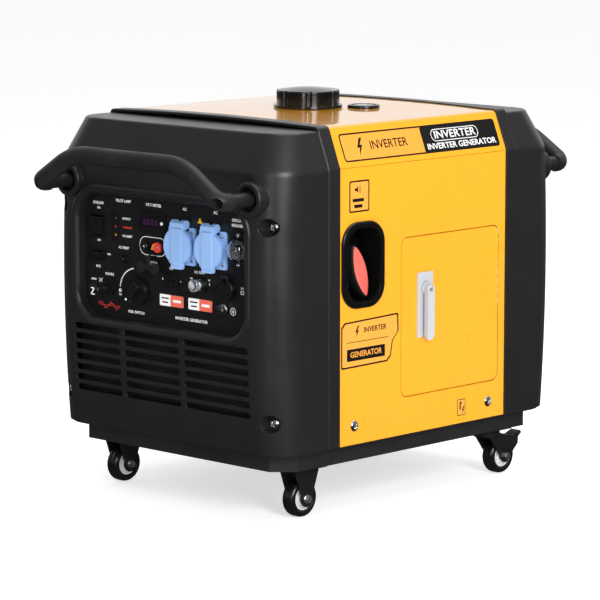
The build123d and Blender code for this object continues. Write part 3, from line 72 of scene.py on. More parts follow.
# ------------------------------------------------------------------ finishes
class Finish:
    """A Principled material built up from layers of procedural detail."""

    def __init__(self, name, color, roughness=0.5, metallic=0.0):
        self.material = bpy.data.materials.new(name)
        self.material.use_nodes = True
        self.tree = self.material.node_tree
        self.shader = self.tree.nodes["Principled BSDF"]
        self.shader.inputs["Base Color"].default_value = (*color, 1)
        self.shader.inputs["Roughness"].default_value = roughness
        self.shader.inputs["Metallic"].default_value = metallic
        self.color = color
        self.color_output = None
        self.normal_output = None
        self.place = self.node("ShaderNodeTexCoord").outputs["Object"]
        self.material.diffuse_color = (*color, 1)

    def node(self, kind, **settings):
        made = self.tree.nodes.new(kind)
        for key, value in settings.items():
            setattr(made, key, value)
        return made

    def link(self, output, target):
        self.tree.links.new(output, target)

    def plain(self, **sockets):
        """Constant values set straight on the shader."""
        for name, value in sockets.items():
            self.shader.inputs[name.replace("_", " ")].default_value = value
        return self

    def noise(self, size, detail=3.0, stretch=(1, 1, 1), distortion=0.0):
        """Noise whose features are about size millimetres across."""
        mapping = self.node("ShaderNodeMapping")
        mapping.inputs["Scale"].default_value = stretch
        self.link(self.place, mapping.inputs["Vector"])
        noise = self.node("ShaderNodeTexNoise")
        noise.inputs["Scale"].default_value = 1 / (size * MM)
        noise.inputs["Detail"].default_value = detail
        noise.inputs["Distortion"].default_value = distortion
        self.link(mapping.outputs["Vector"], noise.inputs["Vector"])
        return noise.outputs["Fac"]

    def ramp(self, fac, low, high, start=0.0, end=1.0):
        """fac remapped from low..high to start..end."""
        scale = self.node("ShaderNodeMapRange", clamp=True)
        self.link(fac, scale.inputs["Value"])
        for name, value in zip(MAP_LIMITS, (low, high, start, end)):
            scale.inputs[name].default_value = value
        return scale.outputs["Result"]

    def tint(self, fac, color):
        """Blends the base colour towards color where fac is high."""
        mix = self.node("ShaderNodeMix", data_type="RGBA")
        base, other = [socket for socket in mix.inputs if socket.type == "RGBA"]
        base.default_value = (*self.color, 1)
        other.default_value = (*color, 1)
        if self.color_output:
            self.link(self.color_output, base)
        self.link(fac, mix.inputs["Factor"])
        self.color_output = [s for s in mix.outputs if s.type == "RGBA"][0]
        self.link(self.color_output, self.shader.inputs["Base Color"])
        return self

    def mottle(self, size, amount, color=None, detail=4.0, stretch=(1, 1, 1)):
        """Soft uneven colour over the surface."""
        other = color or tuple(c * (1 - amount) for c in self.color)
        fac = self.ramp(self.noise(size, detail, stretch), 0.35, 0.7)
        return self.tint(fac, other)

    def sheen_patches(self, size, low, high, stretch=(1, 1, 1), detail=4.0):
        """Roughness that drifts between low and high."""
        fac = self.ramp(self.noise(size, detail, stretch), 0.3, 0.7, low, high)
        self.link(fac, self.shader.inputs["Roughness"])
        return self

    def bump(self, height, depth, strength=1.0):
        """Surface relief of depth millimetres."""
        bump = self.node("ShaderNodeBump")
        bump.inputs["Strength"].default_value = strength
        bump.inputs["Distance"].default_value = depth * MM
        self.link(height, bump.inputs["Height"])
        if self.normal_output:
            self.link(self.normal_output, bump.inputs["Normal"])
        self.normal_output = bump.outputs["Normal"]
        self.link(self.normal_output, self.shader.inputs["Normal"])
        return self

    def soft_edges(self, radius):
        """Rounds sharp edges in the shading by radius millimetres."""
        bevel = self.node("ShaderNodeBevel", samples=4)
        bevel.inputs["Radius"].default_value = radius * MM
        self.normal_output = bevel.outputs["Normal"]
        self.link(self.normal_output, self.shader.inputs["Normal"])
        return self

    def near(self, centre, reach, axis_free=None):
        """1 within reach millimetres of centre, 0 beyond; axis_free is an axis left out."""
        fade = 0.15
        offset = self.node("ShaderNodeVectorMath", operation="SUBTRACT")
        self.link(self.place, offset.inputs[0])
        offset.inputs[1].default_value = Vector(centre) * MM
        flat = self.node("ShaderNodeVectorMath", operation="MULTIPLY")
        flat.inputs[1].default_value = [0 if axis_free == i else 1 for i in range(3)]
        self.link(offset.outputs["Vector"], flat.inputs[0])
        length = self.node("ShaderNodeVectorMath", operation="LENGTH")
        self.link(flat.outputs["Vector"], length.inputs[0])
        return self.ramp(length.outputs["Value"], reach * MM, (reach + fade) * MM, 1.0, 0.0)


def moulded(name, color, rough=(0.42, 0.55), grain=0.5, grain_depth=0.02, edge=0.8,
            shine=0.4):
    """Moulded plastic with a fine spark-eroded grain."""
    f = Finish(name, color, rough[0]).soft_edges(edge)
    f.plain(Specular_IOR_Level=shine)
    f.mottle(60, 0.14)
    speck = tuple(min(1, c * 1.7 + 0.004) for c in color)
    f.tint(f.ramp(f.noise(1.2, 2.0), 0.62, 0.78, 0, 0.35), speck)
    f.sheen_patches(35, *rough)
    f.bump(f.noise(grain, 3.0), grain_depth, 0.6)
    return f


def painted(name, color, rough=(0.24, 0.34), peel=2.2, peel_depth=0.005, coat=0.5,
            edge=0.7):
    """Sprayed gloss paint on sheet steel, with orange peel under a clear coat."""
    f = Finish(name, color, rough[0]).soft_edges(edge)
    f.plain(Coat_Weight=coat, Coat_Roughness=0.05)
    f.mottle(140, 0.05)
    f.sheen_patches(70, *rough)
    f.bump(f.noise(peel, 2.0), peel_depth, 0.5)
    return f


def powder(name, color, rough=(0.45, 0.6), grain=0.9, depth=0.05, edge=0.6):
    """Textured powder coat."""
    f = Finish(name, color, rough[0]).soft_edges(edge)
    f.plain(Specular_IOR_Level=0.3)
    f.mottle(45, 0.2)
    f.sheen_patches(25, *rough)
    f.bump(f.noise(grain, 4.0, distortion=0.4), depth, 0.8)
    return f


def metal(name, color, rough=(0.2, 0.35), grain=(1, 1, 1), grain_size=0.6, depth=0.006,
          edge=0.4):
    """Bare or plated metal with fine tool marks."""
    f = Finish(name, color, rough[0], 1.0).soft_edges(edge)
    f.mottle(18, 0.18)
    f.sheen_patches(9, *rough, stretch=grain)
    f.bump(f.noise(grain_size, 3.0, grain), depth, 0.5)
    return f


def rubbery(name, color, rough=(0.5, 0.7)):
    """Matt rubber."""
    f = Finish(name, color, rough[0]).soft_edges(0.5)
    f.mottle(22, 0.25)
    f.sheen_patches(14, *rough)
    f.bump(f.noise(0.7, 4.0), 0.03, 0.7)
    return f


def ink(name, color, rough=0.45):
    """Screen-printed ink with slightly uneven coverage."""
    f = Finish(name, color, rough)
    f.plain(Specular_IOR_Level=0.25)
    f.mottle(1.6, 0.12, detail=2.0)
    f.sheen_patches(3, rough - 0.06, rough + 0.08)
    return f


def clear(name, color, rough=0.03):
    """Clear moulded plastic or glass."""
    f = Finish(name, color, rough)
    f.plain(Transmission_Weight=1.0, IOR=1.46)
    f.sheen_patches(6, rough, rough + 0.05)
    return f


charcoal = linear(31, 29, 31)
near_black = linear(23, 22, 24)
sun_yellow = (0.9, 0.385, 0.014)
socket_blue = linear(146, 186, 240)
signal_red = linear(235, 70, 58)

cover_finish = moulded("cover_plastic", charcoal, (0.32, 0.4), 0.9, 0.03, 1.2, 0.55)
panel_finish = moulded("panel_plastic", near_black, (0.3, 0.42), 0.7, 0.008, 0.4)
switch_finish = moulded("switch_plastic", linear(20, 20, 21), (0.14, 0.24), 0.6, 0.006, 0.35, 0.6)
cap_finish = moulded("cap_plastic", linear(15, 14, 15), (0.1, 0.18), 0.8, 0.004, 0.6, 0.6)
blue_finish = moulded("socket_plastic", socket_blue, (0.38, 0.5), 0.6, 0.012, 0.6)
light_finish = painted("latch_finish", linear(186, 188, 194), (0.3, 0.42), 1.2, 0.006, 0.2, 0.5)
cup_finish = moulded("cup_plastic", linear(12, 12, 12), (0.2, 0.3), 0.6, 0.008)
yellow_finish = painted("case_yellow", sun_yellow)
deck_finish = painted("deck_yellow", sun_yellow, peel_depth=0.001)
deck_finish.plain(Coat_Roughness=0.02)
# The flat deck has a full clear coat, and the shoulders below it half of one.
shoulder_end, deck_start = 508 * MM, 514 * MM
deck_place = deck_finish.node("ShaderNodeSeparateXYZ")
deck_finish.link(deck_finish.place, deck_place.inputs[0])
on_deck = deck_finish.ramp(deck_place.outputs["Z"], shoulder_end, deck_start, 0.5, 1.0)
deck_finish.link(on_deck, deck_finish.shader.inputs["Coat Weight"])
tank_finish = painted("tank_paint", linear(32, 32, 34))
tray_finish = powder("tray_powder_coat", linear(36, 35, 36), (0.42, 0.58), 0.8, 0.02)
handle_finish = powder("handle_texture_paint", linear(34, 33, 35), (0.4, 0.55), 1.4, 0.12, 0.8)
fork_finish = powder("fork_paint", linear(26, 26, 27), (0.3, 0.42), 0.9, 0.015)
spacer_finish = moulded("spacer_plastic", linear(28, 28, 29), (0.32, 0.45), 0.6, 0.015)
zinc_finish = metal("zinc_plate", (0.58, 0.58, 0.6), (0.25, 0.4))
chrome_finish = metal("chrome", (0.78, 0.78, 0.8), (0.1, 0.2), depth=0.003)
hub_finish = moulded("hub_plastic", linear(226, 226, 226), (0.3, 0.42), 0.6, 0.006, 0.4, 0.5)
cast_finish = metal("cast_aluminium", (0.5, 0.5, 0.52), (0.45, 0.62), grain_size=1.4,
                    depth=0.08, edge=1.0)
steel_finish = metal("machined_steel", (0.46, 0.46, 0.48), (0.25, 0.4), (0.2, 3, 3))
muffler_finish = metal("heated_steel", (0.33, 0.29, 0.25), (0.4, 0.6), grain_size=2.5,
                       depth=0.03)
muffler_finish.mottle(35, 0.5, (0.16, 0.12, 0.16))
tyre_finish = rubbery("tyre_rubber", linear(20, 19, 19), (0.16, 0.3))
seal_finish = rubbery("seal_rubber", linear(26, 26, 26))
grip_finish = moulded("grip_plastic", linear(34, 33, 34), (0.3, 0.42), 0.8, 0.02)
insert_finish = moulded("grip_insert", linear(252, 104, 90), (0.35, 0.5), 0.7, 0.015)
jack_red = moulded("jack_red", signal_red, (0.25, 0.35), 0.6, 0.006, 0.4)
white_finish = moulded("button_white", linear(225, 225, 225), (0.3, 0.4), 0.5, 0.006, 0.3)
white_ink = ink("white_ink", linear(245, 245, 245))
black_ink = ink("black_ink", linear(14, 13, 14), 0.6)
pale_ink = ink("label_yellow", linear(240, 162, 62), 0.35)
red_ink = ink("red_ink", linear(245, 70, 52))
sticker_ink = ink("sticker_red", linear(240, 108, 84))
yellow_ink = ink("warning_yellow", linear(245, 190, 20))
clear_finish = clear("clear_cover", (0.92, 0.93, 0.94))
lens_green = Finish("lens_green", linear(30, 84, 44), 0.2).mottle(1.5, 0.3)
lens_red = Finish("lens_red", linear(150, 26, 22), 0.2).mottle(1.5, 0.3)
lens_yellow = Finish("lens_yellow", linear(170, 124, 22), 0.2).mottle(1.5, 0.3)
meter_finish = moulded("meter_face", linear(44, 43, 46), (0.35, 0.45), 0.6, 0.008, 0.3)
display_finish = Finish("display_window", linear(24, 14, 26), 0.12).mottle(8, 0.3)
digit_finish = Finish("display_digits", linear(92, 52, 104), 0.3).mottle(2, 0.3)

node_finish = {
    "front_cover": cover_finish, "rear_cover": cover_finish, "recoil_cup": cup_finish,
    "fan_shroud": cover_finish, "cooling_fan": cover_finish, "fuel_cap": cap_finish,
    "control_panel": panel_finish, "panel_trims": switch_finish, "outlet_bodies": switch_finish,
    "breaker_body": switch_finish, "fuel_knob": switch_finish, "choke_knob": switch_finish,
    "engine_rocker": switch_finish, "eco_rocker": switch_finish, "ac_reset_button": switch_finish,
    "dc_outlet_flap": switch_finish, "dust_cover": seal_finish, "breaker_lever": switch_finish,
    "fuel_gauge": switch_finish, "air_cleaner": switch_finish, "starter_pulley": switch_finish,
    "ac_sockets": blue_finish, "socket_lid_left": blue_finish, "socket_lid_right": blue_finish,
    "top_cover": deck_finish, "right_panel": yellow_finish, "left_panel": yellow_finish,
    "service_door": yellow_finish, "latch_plate": light_finish, "latch_rotor": light_finish,
    "latch_handle": light_finish, "base_tray": tray_finish, "inner_frame": tray_finish,
    "front_handle": handle_finish, "rear_handle": handle_finish, "handle_spacers": spacer_finish,
    "fork_rl": fork_finish, "fork_rr": fork_finish, "caster_mounts": fork_finish,
    "pedal_rl": fork_finish, "pedal_rr": fork_finish, "screws": chrome_finish,
    "wheel_fl": tyre_finish, "wheel_fr": tyre_finish,
    "wheel_rl": tyre_finish, "wheel_rr": tyre_finish,
    "ground_nut": chrome_finish, "recoil_grip": grip_finish, "fuel_tank": tank_finish,
    "cap_seal": seal_finish, "engine_block": cast_finish, "cylinder_head": cast_finish,
    "crankshaft": steel_finish, "stator": steel_finish, "muffler": muffler_finish,
    "carburettor": cast_finish, "inverter_module": switch_finish, "oil_dipstick": jack_red,
    "dc_reset_button": zinc_finish, "meter_button": white_finish,
}
for name, thing in cad.items():
    thing.data.materials.clear()
    thing.data.materials.append(node_finish[name].material)


# ------------------------------------------------------------------ drawing boards and pieces
PRINTED = (0.08, 0.02)  # thickness and lift of ink printed straight on a surface
LABEL_LIFT = 0.02
LABEL_SKIN = 0.12
ON_LABEL = (0.04, 0.14)  # thickness and lift of ink on a label's skin
BOLD_ON_LABEL = (0.05, 0.14)
LETTER_EM = 1.38  # font size that gives capitals of height 1


def board(origin, right, up):
    """Matrix from flat work in millimetres to the shared frame in metres."""
    x = Vector(right).normalized()
    y = Vector(up).normalized()
    z = x.cross(y)
    turn = Matrix((x, y, z)).transposed().to_4x4()
    return Matrix.Translation(Vector(origin) * MM) @ turn @ Matrix.Scale(MM, 4)


class Piece:
    """Collects geometry, then becomes one object that rides on a body."""

    def __init__(self, name, *finishes):
        self.name = name
        self.finishes = finishes
        self.shape = bmesh.new()

    def add_mesh(self, points, faces, matrix, finish=0, smooth=False):
        made = [self.shape.verts.new(matrix @ Vector(p)) for p in points]
        for face in faces:
            try:
                f = self.shape.faces.new([made[i] for i in face])
            except ValueError:
                continue
            f.material_index = finish
            f.smooth = smooth
        return made

    def slab(self, outline, matrix, thickness, lift=0.0, finish=0):
        """Closed plate from a convex or simple outline."""
        count = len(outline)
        points = [(x, y, z) for z in (lift, lift + thickness) for x, y in outline]
        faces = [tuple(reversed(range(count))), tuple(range(count, 2 * count))]
        for i in range(count):
            j = (i + 1) % count
            faces.append((i, j, j + count, i + count))
        self.add_mesh(points, faces, matrix, finish)

    def band(self, outer, inner, matrix, thickness, lift=0.0, finish=0):
        """Closed ring between two outlines with equal numbers of points."""
        count = len(outer)
        points = []
        for level in (lift, lift + thickness):
            points += [(x, y, level) for x, y in outer]
            points += [(x, y, level) for x, y in inner]
        faces = []
        for i in range(count):
            j = (i + 1) % count
            faces.append((2 * count + i, 2 * count + j, 3 * count + j, 3 * count + i))
            faces.append((j, i, count + i, count + j))
            faces.append((i, j, 2 * count + j, 2 * count + i))
            faces.append((count + j, count + i, 3 * count + i, 3 * count + j))
        self.add_mesh(points, faces, matrix, finish)

    def stroke(self, line, width, matrix, thickness, lift=0.0, finish=0):
        """Line of even width along a list of points."""
        left, right = [], []
        for i, point in enumerate(line):
            here = Vector(point)
            after, before = line[min(i + 1, len(line) - 1)], line[max(i - 1, 0)]
            ahead = Vector(after) - Vector(before)
            side = Vector((-ahead.y, ahead.x)).normalized() * width / 2
            left.append(tuple(here + side))
            right.append(tuple(here - side))
        for i in range(len(line) - 1):
            part = [right[i], right[i + 1], left[i + 1], left[i]]
            self.slab(part, matrix, thickness, lift, finish)

    def lathe(self, profile, matrix, steps=64, finish=0, closed=False):
        """Turns a profile of (radius, height) about the board's z axis."""
        points = []
        for k in range(steps):
            angle = 2 * math.pi * k / steps
            points += [(r * math.cos(angle), r * math.sin(angle), z) for r, z in profile]
        count = len(profile)
        spans = count if closed else count - 1
        faces = []
        for k in range(steps):
            here, there = k * count, (k + 1) % steps * count
            for i in range(spans):
                j = (i + 1) % count
                faces.append((here + i, there + i, there + j, here + j))
        self.add_mesh(points, faces, matrix, finish, smooth=True)

    def letters(self, words, size, matrix, at, lift=0.02, finish=0, span=0.0):
        """Raised lettering centred on a point, stretched to span millimetres if given."""
        thickness = 0.06
        curve = bpy.data.curves.new("letters", "FONT")
        curve.body = words
        curve.align_x = "CENTER"
        curve.align_y = "CENTER"
        curve.size = size * LETTER_EM
        curve.extrude = thickness / 2
        curve.resolution_u = 3
        curve.offset = min(size * 0.034, 0.2)
        holder = bpy.data.objects.new("letters", curve)
        mesh = bpy.data.meshes.new_from_object(holder)
        across = [v.co.x for v in mesh.vertices]
        wide = span / (max(across) - min(across)) if span else 1.0
        place = (Matrix.Translation((at[0], at[1], lift + thickness / 2))
                 @ Matrix.Diagonal((wide, 1, 1, 1)))
        points = [place @ v.co for v in mesh.vertices]
        self.add_mesh(points, [tuple(p.vertices) for p in mesh.polygons], matrix, finish)
        bpy.data.objects.remove(holder)
        bpy.data.meshes.remove(mesh)
        bpy.data.curves.remove(curve)

    def done(self, body, replaces=(), merge=0.0):
        """Writes the object, sets what it rides on and returns it."""
        bmesh.ops.remove_doubles(self.shape, verts=self.shape.verts, dist=merge or 1e-7)
        bmesh.ops.recalc_face_normals(self.shape, faces=self.shape.faces)
        mesh = bpy.data.meshes.new(self.name)
        self.shape.to_mesh(mesh)
        self.shape.free()
        for finish in self.finishes:
            mesh.materials.append(finish.material)
        thing = bpy.data.objects.new(self.name, mesh)
        bpy.context.collection.objects.link(thing)
        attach(thing, body)
        if replaces:
            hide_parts(*replaces)
        return thing


def rounded(width, height, radius, centre=(0, 0), steps=6):
    """Outline of a round-cornered rectangle, anticlockwise."""
    line = []
    for quarter, (sx, sy) in enumerate(((1, 1), (-1, 1), (-1, -1), (1, -1))):
        middle_x = centre[0] + sx * (width / 2 - radius)
        middle_y = centre[1] + sy * (height / 2 - radius)
        for k in range(steps + 1):
            angle = math.radians(90 * (quarter + k / steps))
            line.append((middle_x + radius * math.cos(angle),
                         middle_y + radius * math.sin(angle)))
    return line


def circle(radius, centre=(0, 0), steps=40):
    """Outline of a circle, anticlockwise."""
    turns = [2 * math.pi * k / steps for k in range(steps)]
    return [(centre[0] + radius * math.cos(a), centre[1] + radius * math.sin(a)) for a in turns]


def round_corners(points, radius, steps=5):
    """Polygon with every corner rounded."""
    line = []
    for i, point in enumerate(points):
        here = Vector(point)
        back = (Vector(points[i - 1]) - here).normalized()
        ahead = (Vector(points[(i + 1) % len(points)]) - here).normalized()
        half = math.acos(max(-1, min(1, back.dot(ahead)))) / 2
        reach = radius / math.tan(half)
        first, last = here + back * reach, here + ahead * reach
        for k in range(steps + 1):
            t = k / steps
            line.append(tuple(first * (1 - t) ** 2 + here * 2 * t * (1 - t) + last * t ** 2))
    return line


def bolt_sign(height, centre=(0, 0)):
    """Outline of a lightning bolt of that height."""
    shape = ((0.1, 0.5), (-0.22, -0.06), (-0.02, -0.06), (-0.14, -0.5), (0.24, 0.1),
             (0.04, 0.1), (0.3, 0.5))
    return [(centre[0] + x * height, centre[1] + y * height) for x, y in shape]


# ------------------------------------------------------------------ boards
panel_low = corners("control_panel")[0]
panel_board = board((0, panel_low.y, 0), (1, 0, 0), (0, 0, 1))
side_high = corners("right_panel")[1]
side_board = board((side_high.x, 0, 0), (0, 1, 0), (0, 0, 1))
top_high = corners("top_cover")[1]
crease_gap = 0.3
crease = side_high.z + crease_gap
shoulder_in, shoulder_up = 21.0, 53.5
slope_board = board((top_high.x, 0, crease), (0, 1, 0), (-shoulder_in, 0, shoulder_up))

# ------------------------------------------------------------------ printed legends
# Places on the panel are (x, z) in the shared frame, in millimetres.
legend_scale = 1.3
legends = Piece("panel_legends", white_ink)
for words, x, z, size in (
    ("ENG.SW.", -131, 399, 3.0), ("ON", -131, 392.3, 2.2), ("OFF", -131, 348, 2.2),
    ("PILOT LAMP", -82.3, 405, 3.0), ("V.F.T METER", -24, 404, 3.0), ("AC", 35.5, 403.8, 3.0),
    ("AC", 93, 403.9, 3.0), ("CIRCUIT", 133, 397, 2.8), ("BREAKER", 133, 390.3, 2.8),
    ("OUTPUT", -76.5, 381.4, 2.3), ("OIL ALERT", -75, 358, 2.3), ("AC RESET", -82, 342, 2.6),
    ("ON", -111.5, 330.5, 2.2), ("ECO", -132.5, 312.5, 2.5), ("PARALLEL", -26, 327.6, 2.2),
    ("OUTPUT", -26, 323.6, 2.2), ("DC", 9.5, 322.6, 2.6), ("DC RESET", 63.6, 322.4, 2.6),
    ("CHOKE", -110.5, 303.6, 2.8), ("OPEN", -142, 294.1, 2.2), ("OFF", -89.5, 278, 1.8),
    ("FUEL SWITCH", -58.5, 256.8, 2.8), ("INVERTER GENERATOR", 47, 257.5, 3.2),
    ("+", -7, 307.4, 3.2), ("-", 27.5, 307.2, 3.2), ("ON", 47.5, 313.3, 1.7),
    ("OFF", 80, 313.6, 1.7), ("DC", 142, 309, 1.9),
):
    legends.letters(words, size * legend_scale, panel_board, (x, z))
jack_z = 349.0
jacks_at = (-25.4, jack_z)
legends.band(rounded(52, 25, 12.4, jacks_at, 10), rounded(50.2, 23.2, 11.5, jacks_at, 10),
             panel_board, *PRINTED)
valve_x, valve_z = -58.5, 285.5
arc_wide, arc_high, arc_start, arc_sweep, arc_parts = 31.5, 30.5, 98, 76, 14
valve_arc = []
for k in range(arc_parts + 1):
    turn = math.radians(arc_start + arc_sweep * k / arc_parts)
    valve_arc.append((valve_x + arc_wide * math.cos(turn), valve_z + arc_high * math.sin(turn)))
legends.stroke(valve_arc, 1.4, panel_board, *PRINTED)
pump_body = rounded(3.4, 4.4, 0.6, (-90.3, 283.6))
pump_hose = [(-88.2, 282), (-87, 283), (-87, 285.4), (-88.2, 286.4)]
reset_arrow = [(78.3, 307), (83.1, 307), (80.7, 310.6)]
legends.slab(pump_body, panel_board, *PRINTED)
legends.stroke(pump_hose, 0.6, panel_board, *PRINTED)
legends.slab(reset_arrow, panel_board, *PRINTED)
choke_x = -128
for offset in (-3.4, 3.4):
    wing = [(choke_x + offset, 291.4), (choke_x + offset * 0.35, 294), (choke_x + offset, 296.8)]
    legends.stroke(wing, 0.8, panel_board, *PRINTED)
legends.stroke([(choke_x, 291.6), (choke_x, 296.6)], 0.7, panel_board, *PRINTED)
earth_x, earth_z = earth_at = (125, 277)
legends.band(circle(5.0, earth_at), circle(4.3, earth_at), panel_board, *PRINTED)
legends.stroke([(earth_x, earth_z + 3.2), earth_at], 0.7, panel_board, *PRINTED)
for row, half in enumerate((2.7, 1.8, 0.9)):
    level = earth_z - row * 1.1
    legends.stroke([(earth_x - half, level), (earth_x + half, level)], 0.6, panel_board, *PRINTED)
flap_sign_at = (142, 303.5)
legends.band(rounded(6, 4.6, 1, flap_sign_at), rounded(4.6, 3.2, 0.5, flap_sign_at), panel_board,
             *PRINTED)
legends.done("case")

red_marks = Piece("panel_red_marks", red_ink)
red_marks.letters("OVERLOAD", 2.3, panel_board, (-74.2, 369.6))
# An uneven wave of two periods, on its axis: the sign of the inverter's output.
wave_x, wave_z, wave_length, wave_height, wave_steps = -132, 261, 41.6, 5.2, 48
wave = []
for t in range(wave_steps + 1):
    swing = math.sin(t / wave_steps * 4 * math.pi + 0.4) * (0.75 + 0.25 * math.sin(t))
    wave.append((wave_x + wave_length * t / wave_steps, wave_z + wave_height * swing))
red_marks.stroke(wave, 0.7, panel_board, *PRINTED)
red_marks.stroke([(-133, wave_z), (-89.5, wave_z)], 0.5, panel_board, *PRINTED)
red_marks.done("case")

warnings = Piece("panel_warning_signs", yellow_ink, black_ink)
for x, z, size in ((-25.2, 348.2, 9.5), (64.2, 391.0, 9.0)):
    base_z = z - size * 0.4
    sign = [(x - size / 2, base_z), (x + size / 2, base_z), (x, z + size * 0.5)]
    warnings.slab(round_corners(sign, 0.5), panel_board, 0.06, 0.02)
    warnings.slab(bolt_sign(size * 0.52, (x, z - size * 0.08)), panel_board, 0.04, 0.08, 1)
warnings.done("case")

stickers = Piece("panel_stickers", white_ink, sticker_ink, black_ink)
for left, right in ((-12.8, 32.2), (41.6, 86.2)):
    low, high = 271.8, 287.0
    split = left + (right - left) * 0.46
    whole_at = ((left + right) / 2, (low + high) / 2)
    red_at = ((split + right) / 2, (low + high) / 2)
    whole = rounded(right - left, high - low, 1.6, whole_at)
    red_field = rounded(right - split, high - low, 1.5, red_at)
    stickers.slab(whole, panel_board, 0.10, 0.02)
    stickers.slab(red_field, panel_board, 0.05, 0.12, 1)
    for row, wide in enumerate((14, 11)):
        level = high - 5 - row * 5.4
        line = rounded(wide, 1.9, 0.4, ((left + split) / 2, level))
        stickers.slab(line, panel_board, 0.03, 0.12, 2)
    stickers.slab(rounded(15, 3.6, 0.6, red_at), panel_board, 0.03, 0.17, 0)
stickers.done("case")

# ------------------------------------------------------------------ lamps, knobs and covers
lamps = Piece("pilot_lamps", lens_green, lens_red, lens_yellow, white_ink)
lens_x, dot_x, lens_radius, strip_depth = -96.6, -102.2, 1.8, 0.75
dome = [(lens_radius, 0.0)]
for k in range(9):
    angle = k * math.pi / 16
    dome.append((lens_radius * math.cos(angle), 0.3 + math.sin(angle)))
for number, z in enumerate((381.2, 369.8, 358.4)):
    lens = board((lens_x, panel_low.y - strip_depth, z), (1, 0, 0), (0, 0, 1))
    lamps.lathe(dome, lens, 28, number)
    lamps.slab(circle(0.55, (dot_x, z), 12), panel_board, 0.06, strip_depth, 3)
lamps.done("case")

display = Piece("meter_display", display_finish, digit_finish, white_ink, meter_finish)
meter_face = rounded(52.4, 25.9, 1.4, (-25.5, 381))
window = rounded(34.0, 13.0, 0.8, (-32, 381))
display.band(meter_face, window, panel_board, 0.1, 1.56, 3)
display.slab(window, panel_board, 0.3, 0.8)


def digit(piece, left, bottom, height, finish):
    """Figure eight of seven segments."""
    wide, line = height * 0.55, height * 0.13
    thickness, lift = 0.05, 1.1
    for level in (0, 0.5, 1):
        y = bottom + height * level
        flat = [(left + line, y - line / 2), (left + wide - line, y - line / 2),
                (left + wide - line, y + line / 2), (left + line, y + line / 2)]
        piece.slab(flat, panel_board, thickness, lift, finish)
    for x in (left, left + wide):
        for level in (0, 0.5):
            low = bottom + height * level + line
            high = bottom + height * level + height / 2 - line
            upright = [(x - line / 2, low), (x + line / 2, low),
                       (x + line / 2, high), (x - line / 2, high)]
            piece.slab(upright, panel_board, thickness, lift, finish)


first_digit, digit_pitch, digit_z, digit_height = -42.5, 7.4, 377.4, 7.2
for number in range(4):
    digit(display, first_digit + number * digit_pitch, digit_z, digit_height, 1)
display.letters("METER SELECT", 1.5, panel_board, (-37, 390.2), 1.62, 2)
display.done("case")



def front_board(node):
    """Board on the middle of the front of a control's CAD node."""
    low, high = corners(node)
    return board(((low.x + high.x) / 2, low.y, (low.z + high.z) / 2), (1, 0, 0), (0, 0, 1))


knob_board = front_board("choke_knob")
choke_sign = Piece("choke_knob_sign", white_ink)  # two bars joined by a slanted one
for bar, width in (([(-3.4, 4.2), (3.2, 4.2)], 1.7), ([(3.0, 4.4), (-3.0, -4.4)], 1.9),
                   ([(-3.2, -4.2), (3.4, -4.2)], 1.7)):
    choke_sign.stroke(bar, width, knob_board, 0.08, 0.01)
choke_sign.done("choke_knob")

valve_board = front_board("fuel_knob")
valve_marks = Piece("fuel_knob_mark", white_ink, switch_finish)
lean = math.radians(-130)
rib_half, rib_pitch, first_rib, dot_out = 5.2, 2.4, 12.5, 13.0
pointer = Vector((math.cos(lean), math.sin(lean)))
across = Vector((-math.sin(lean), math.cos(lean))) * rib_half
valve_marks.slab(circle(1.7, pointer * dot_out, 20), valve_board, 0.1, 0.01)
for number in range(4):
    mid = pointer * (number * rib_pitch - first_rib)
    valve_marks.stroke([mid - across, mid + across], 0.9, valve_board, 0.7, -0.1, 1)
valve_marks.done("fuel_knob")

lever_low, lever_high = corners("breaker_lever")
breaker_depth = 2.6
breaker_at = ((lever_low.x + lever_high.x) / 2, panel_low.y - breaker_depth,
              (lever_low.z + lever_high.z) / 2)
dome_board = board(breaker_at, (1, 0, 0), (0, 0, 1))
boot = Piece("breaker_boot", clear_finish)
boot_radius, boot_foot, boot_rise, boot_wall = 14.2, 1.2, 13.8, 0.9
outer = [(16.0, 0.0), (16.0, 0.8), (boot_radius, boot_foot)]
for k in range(1, 15):
    angle = k * math.pi / 28
    outer.append((boot_radius * math.cos(angle), boot_foot + boot_rise * math.sin(angle)))
inner = [(max(r - boot_wall, 0.0), max(z - boot_wall, 0.0)) for r, z in reversed(outer[2:])]
boot.lathe([*outer, *inner, (boot_radius - boot_wall, 0.0)], dome_board, 56, closed=True)
boot.done("case", merge=1e-6)

cap_board = front_board("dc_reset_button")
reset_cap = Piece("dc_reset_boot", clear_finish)
profile = [(8.3, -9.0), (8.3, -0.6), (7.6, 0.4), (0.0, 0.9), (0.0, 0.25), (7.4, -0.2),
           (7.95, -0.8), (7.95, -9.0)]
reset_cap.lathe(profile, cap_board, 48, closed=True)
reset_cap.done("dc_reset_button", merge=1e-6)

jacks = Piece("jack_collars", jack_red, switch_finish, chrome_finish)
jack_depth = 5.2
ring = [(2.2, -1.5), (2.2, 0.3), (3.0, 1.2), (4.0, 0.2), (4.8, 0.2), (5.4, 1.3), (6.4, 1.0),
        (6.9, 0.0), (6.9, -4.6), (6.3, -4.8), (6.3, -1.5)]
contact = [(2.05, -12), (2.05, -0.4), (1.6, -0.2), (1.6, -12)]
for x, finish in ((-12.8, 0), (-38.0, 1)):
    jack_board = board((x, panel_low.y - jack_depth, jack_z), (1, 0, 0), (0, 0, 1))
    jacks.lathe(ring, jack_board, 40, finish, closed=True)
    jacks.lathe(contact, jack_board, 24, 2, closed=True)
jacks.done("case", merge=1e-6)

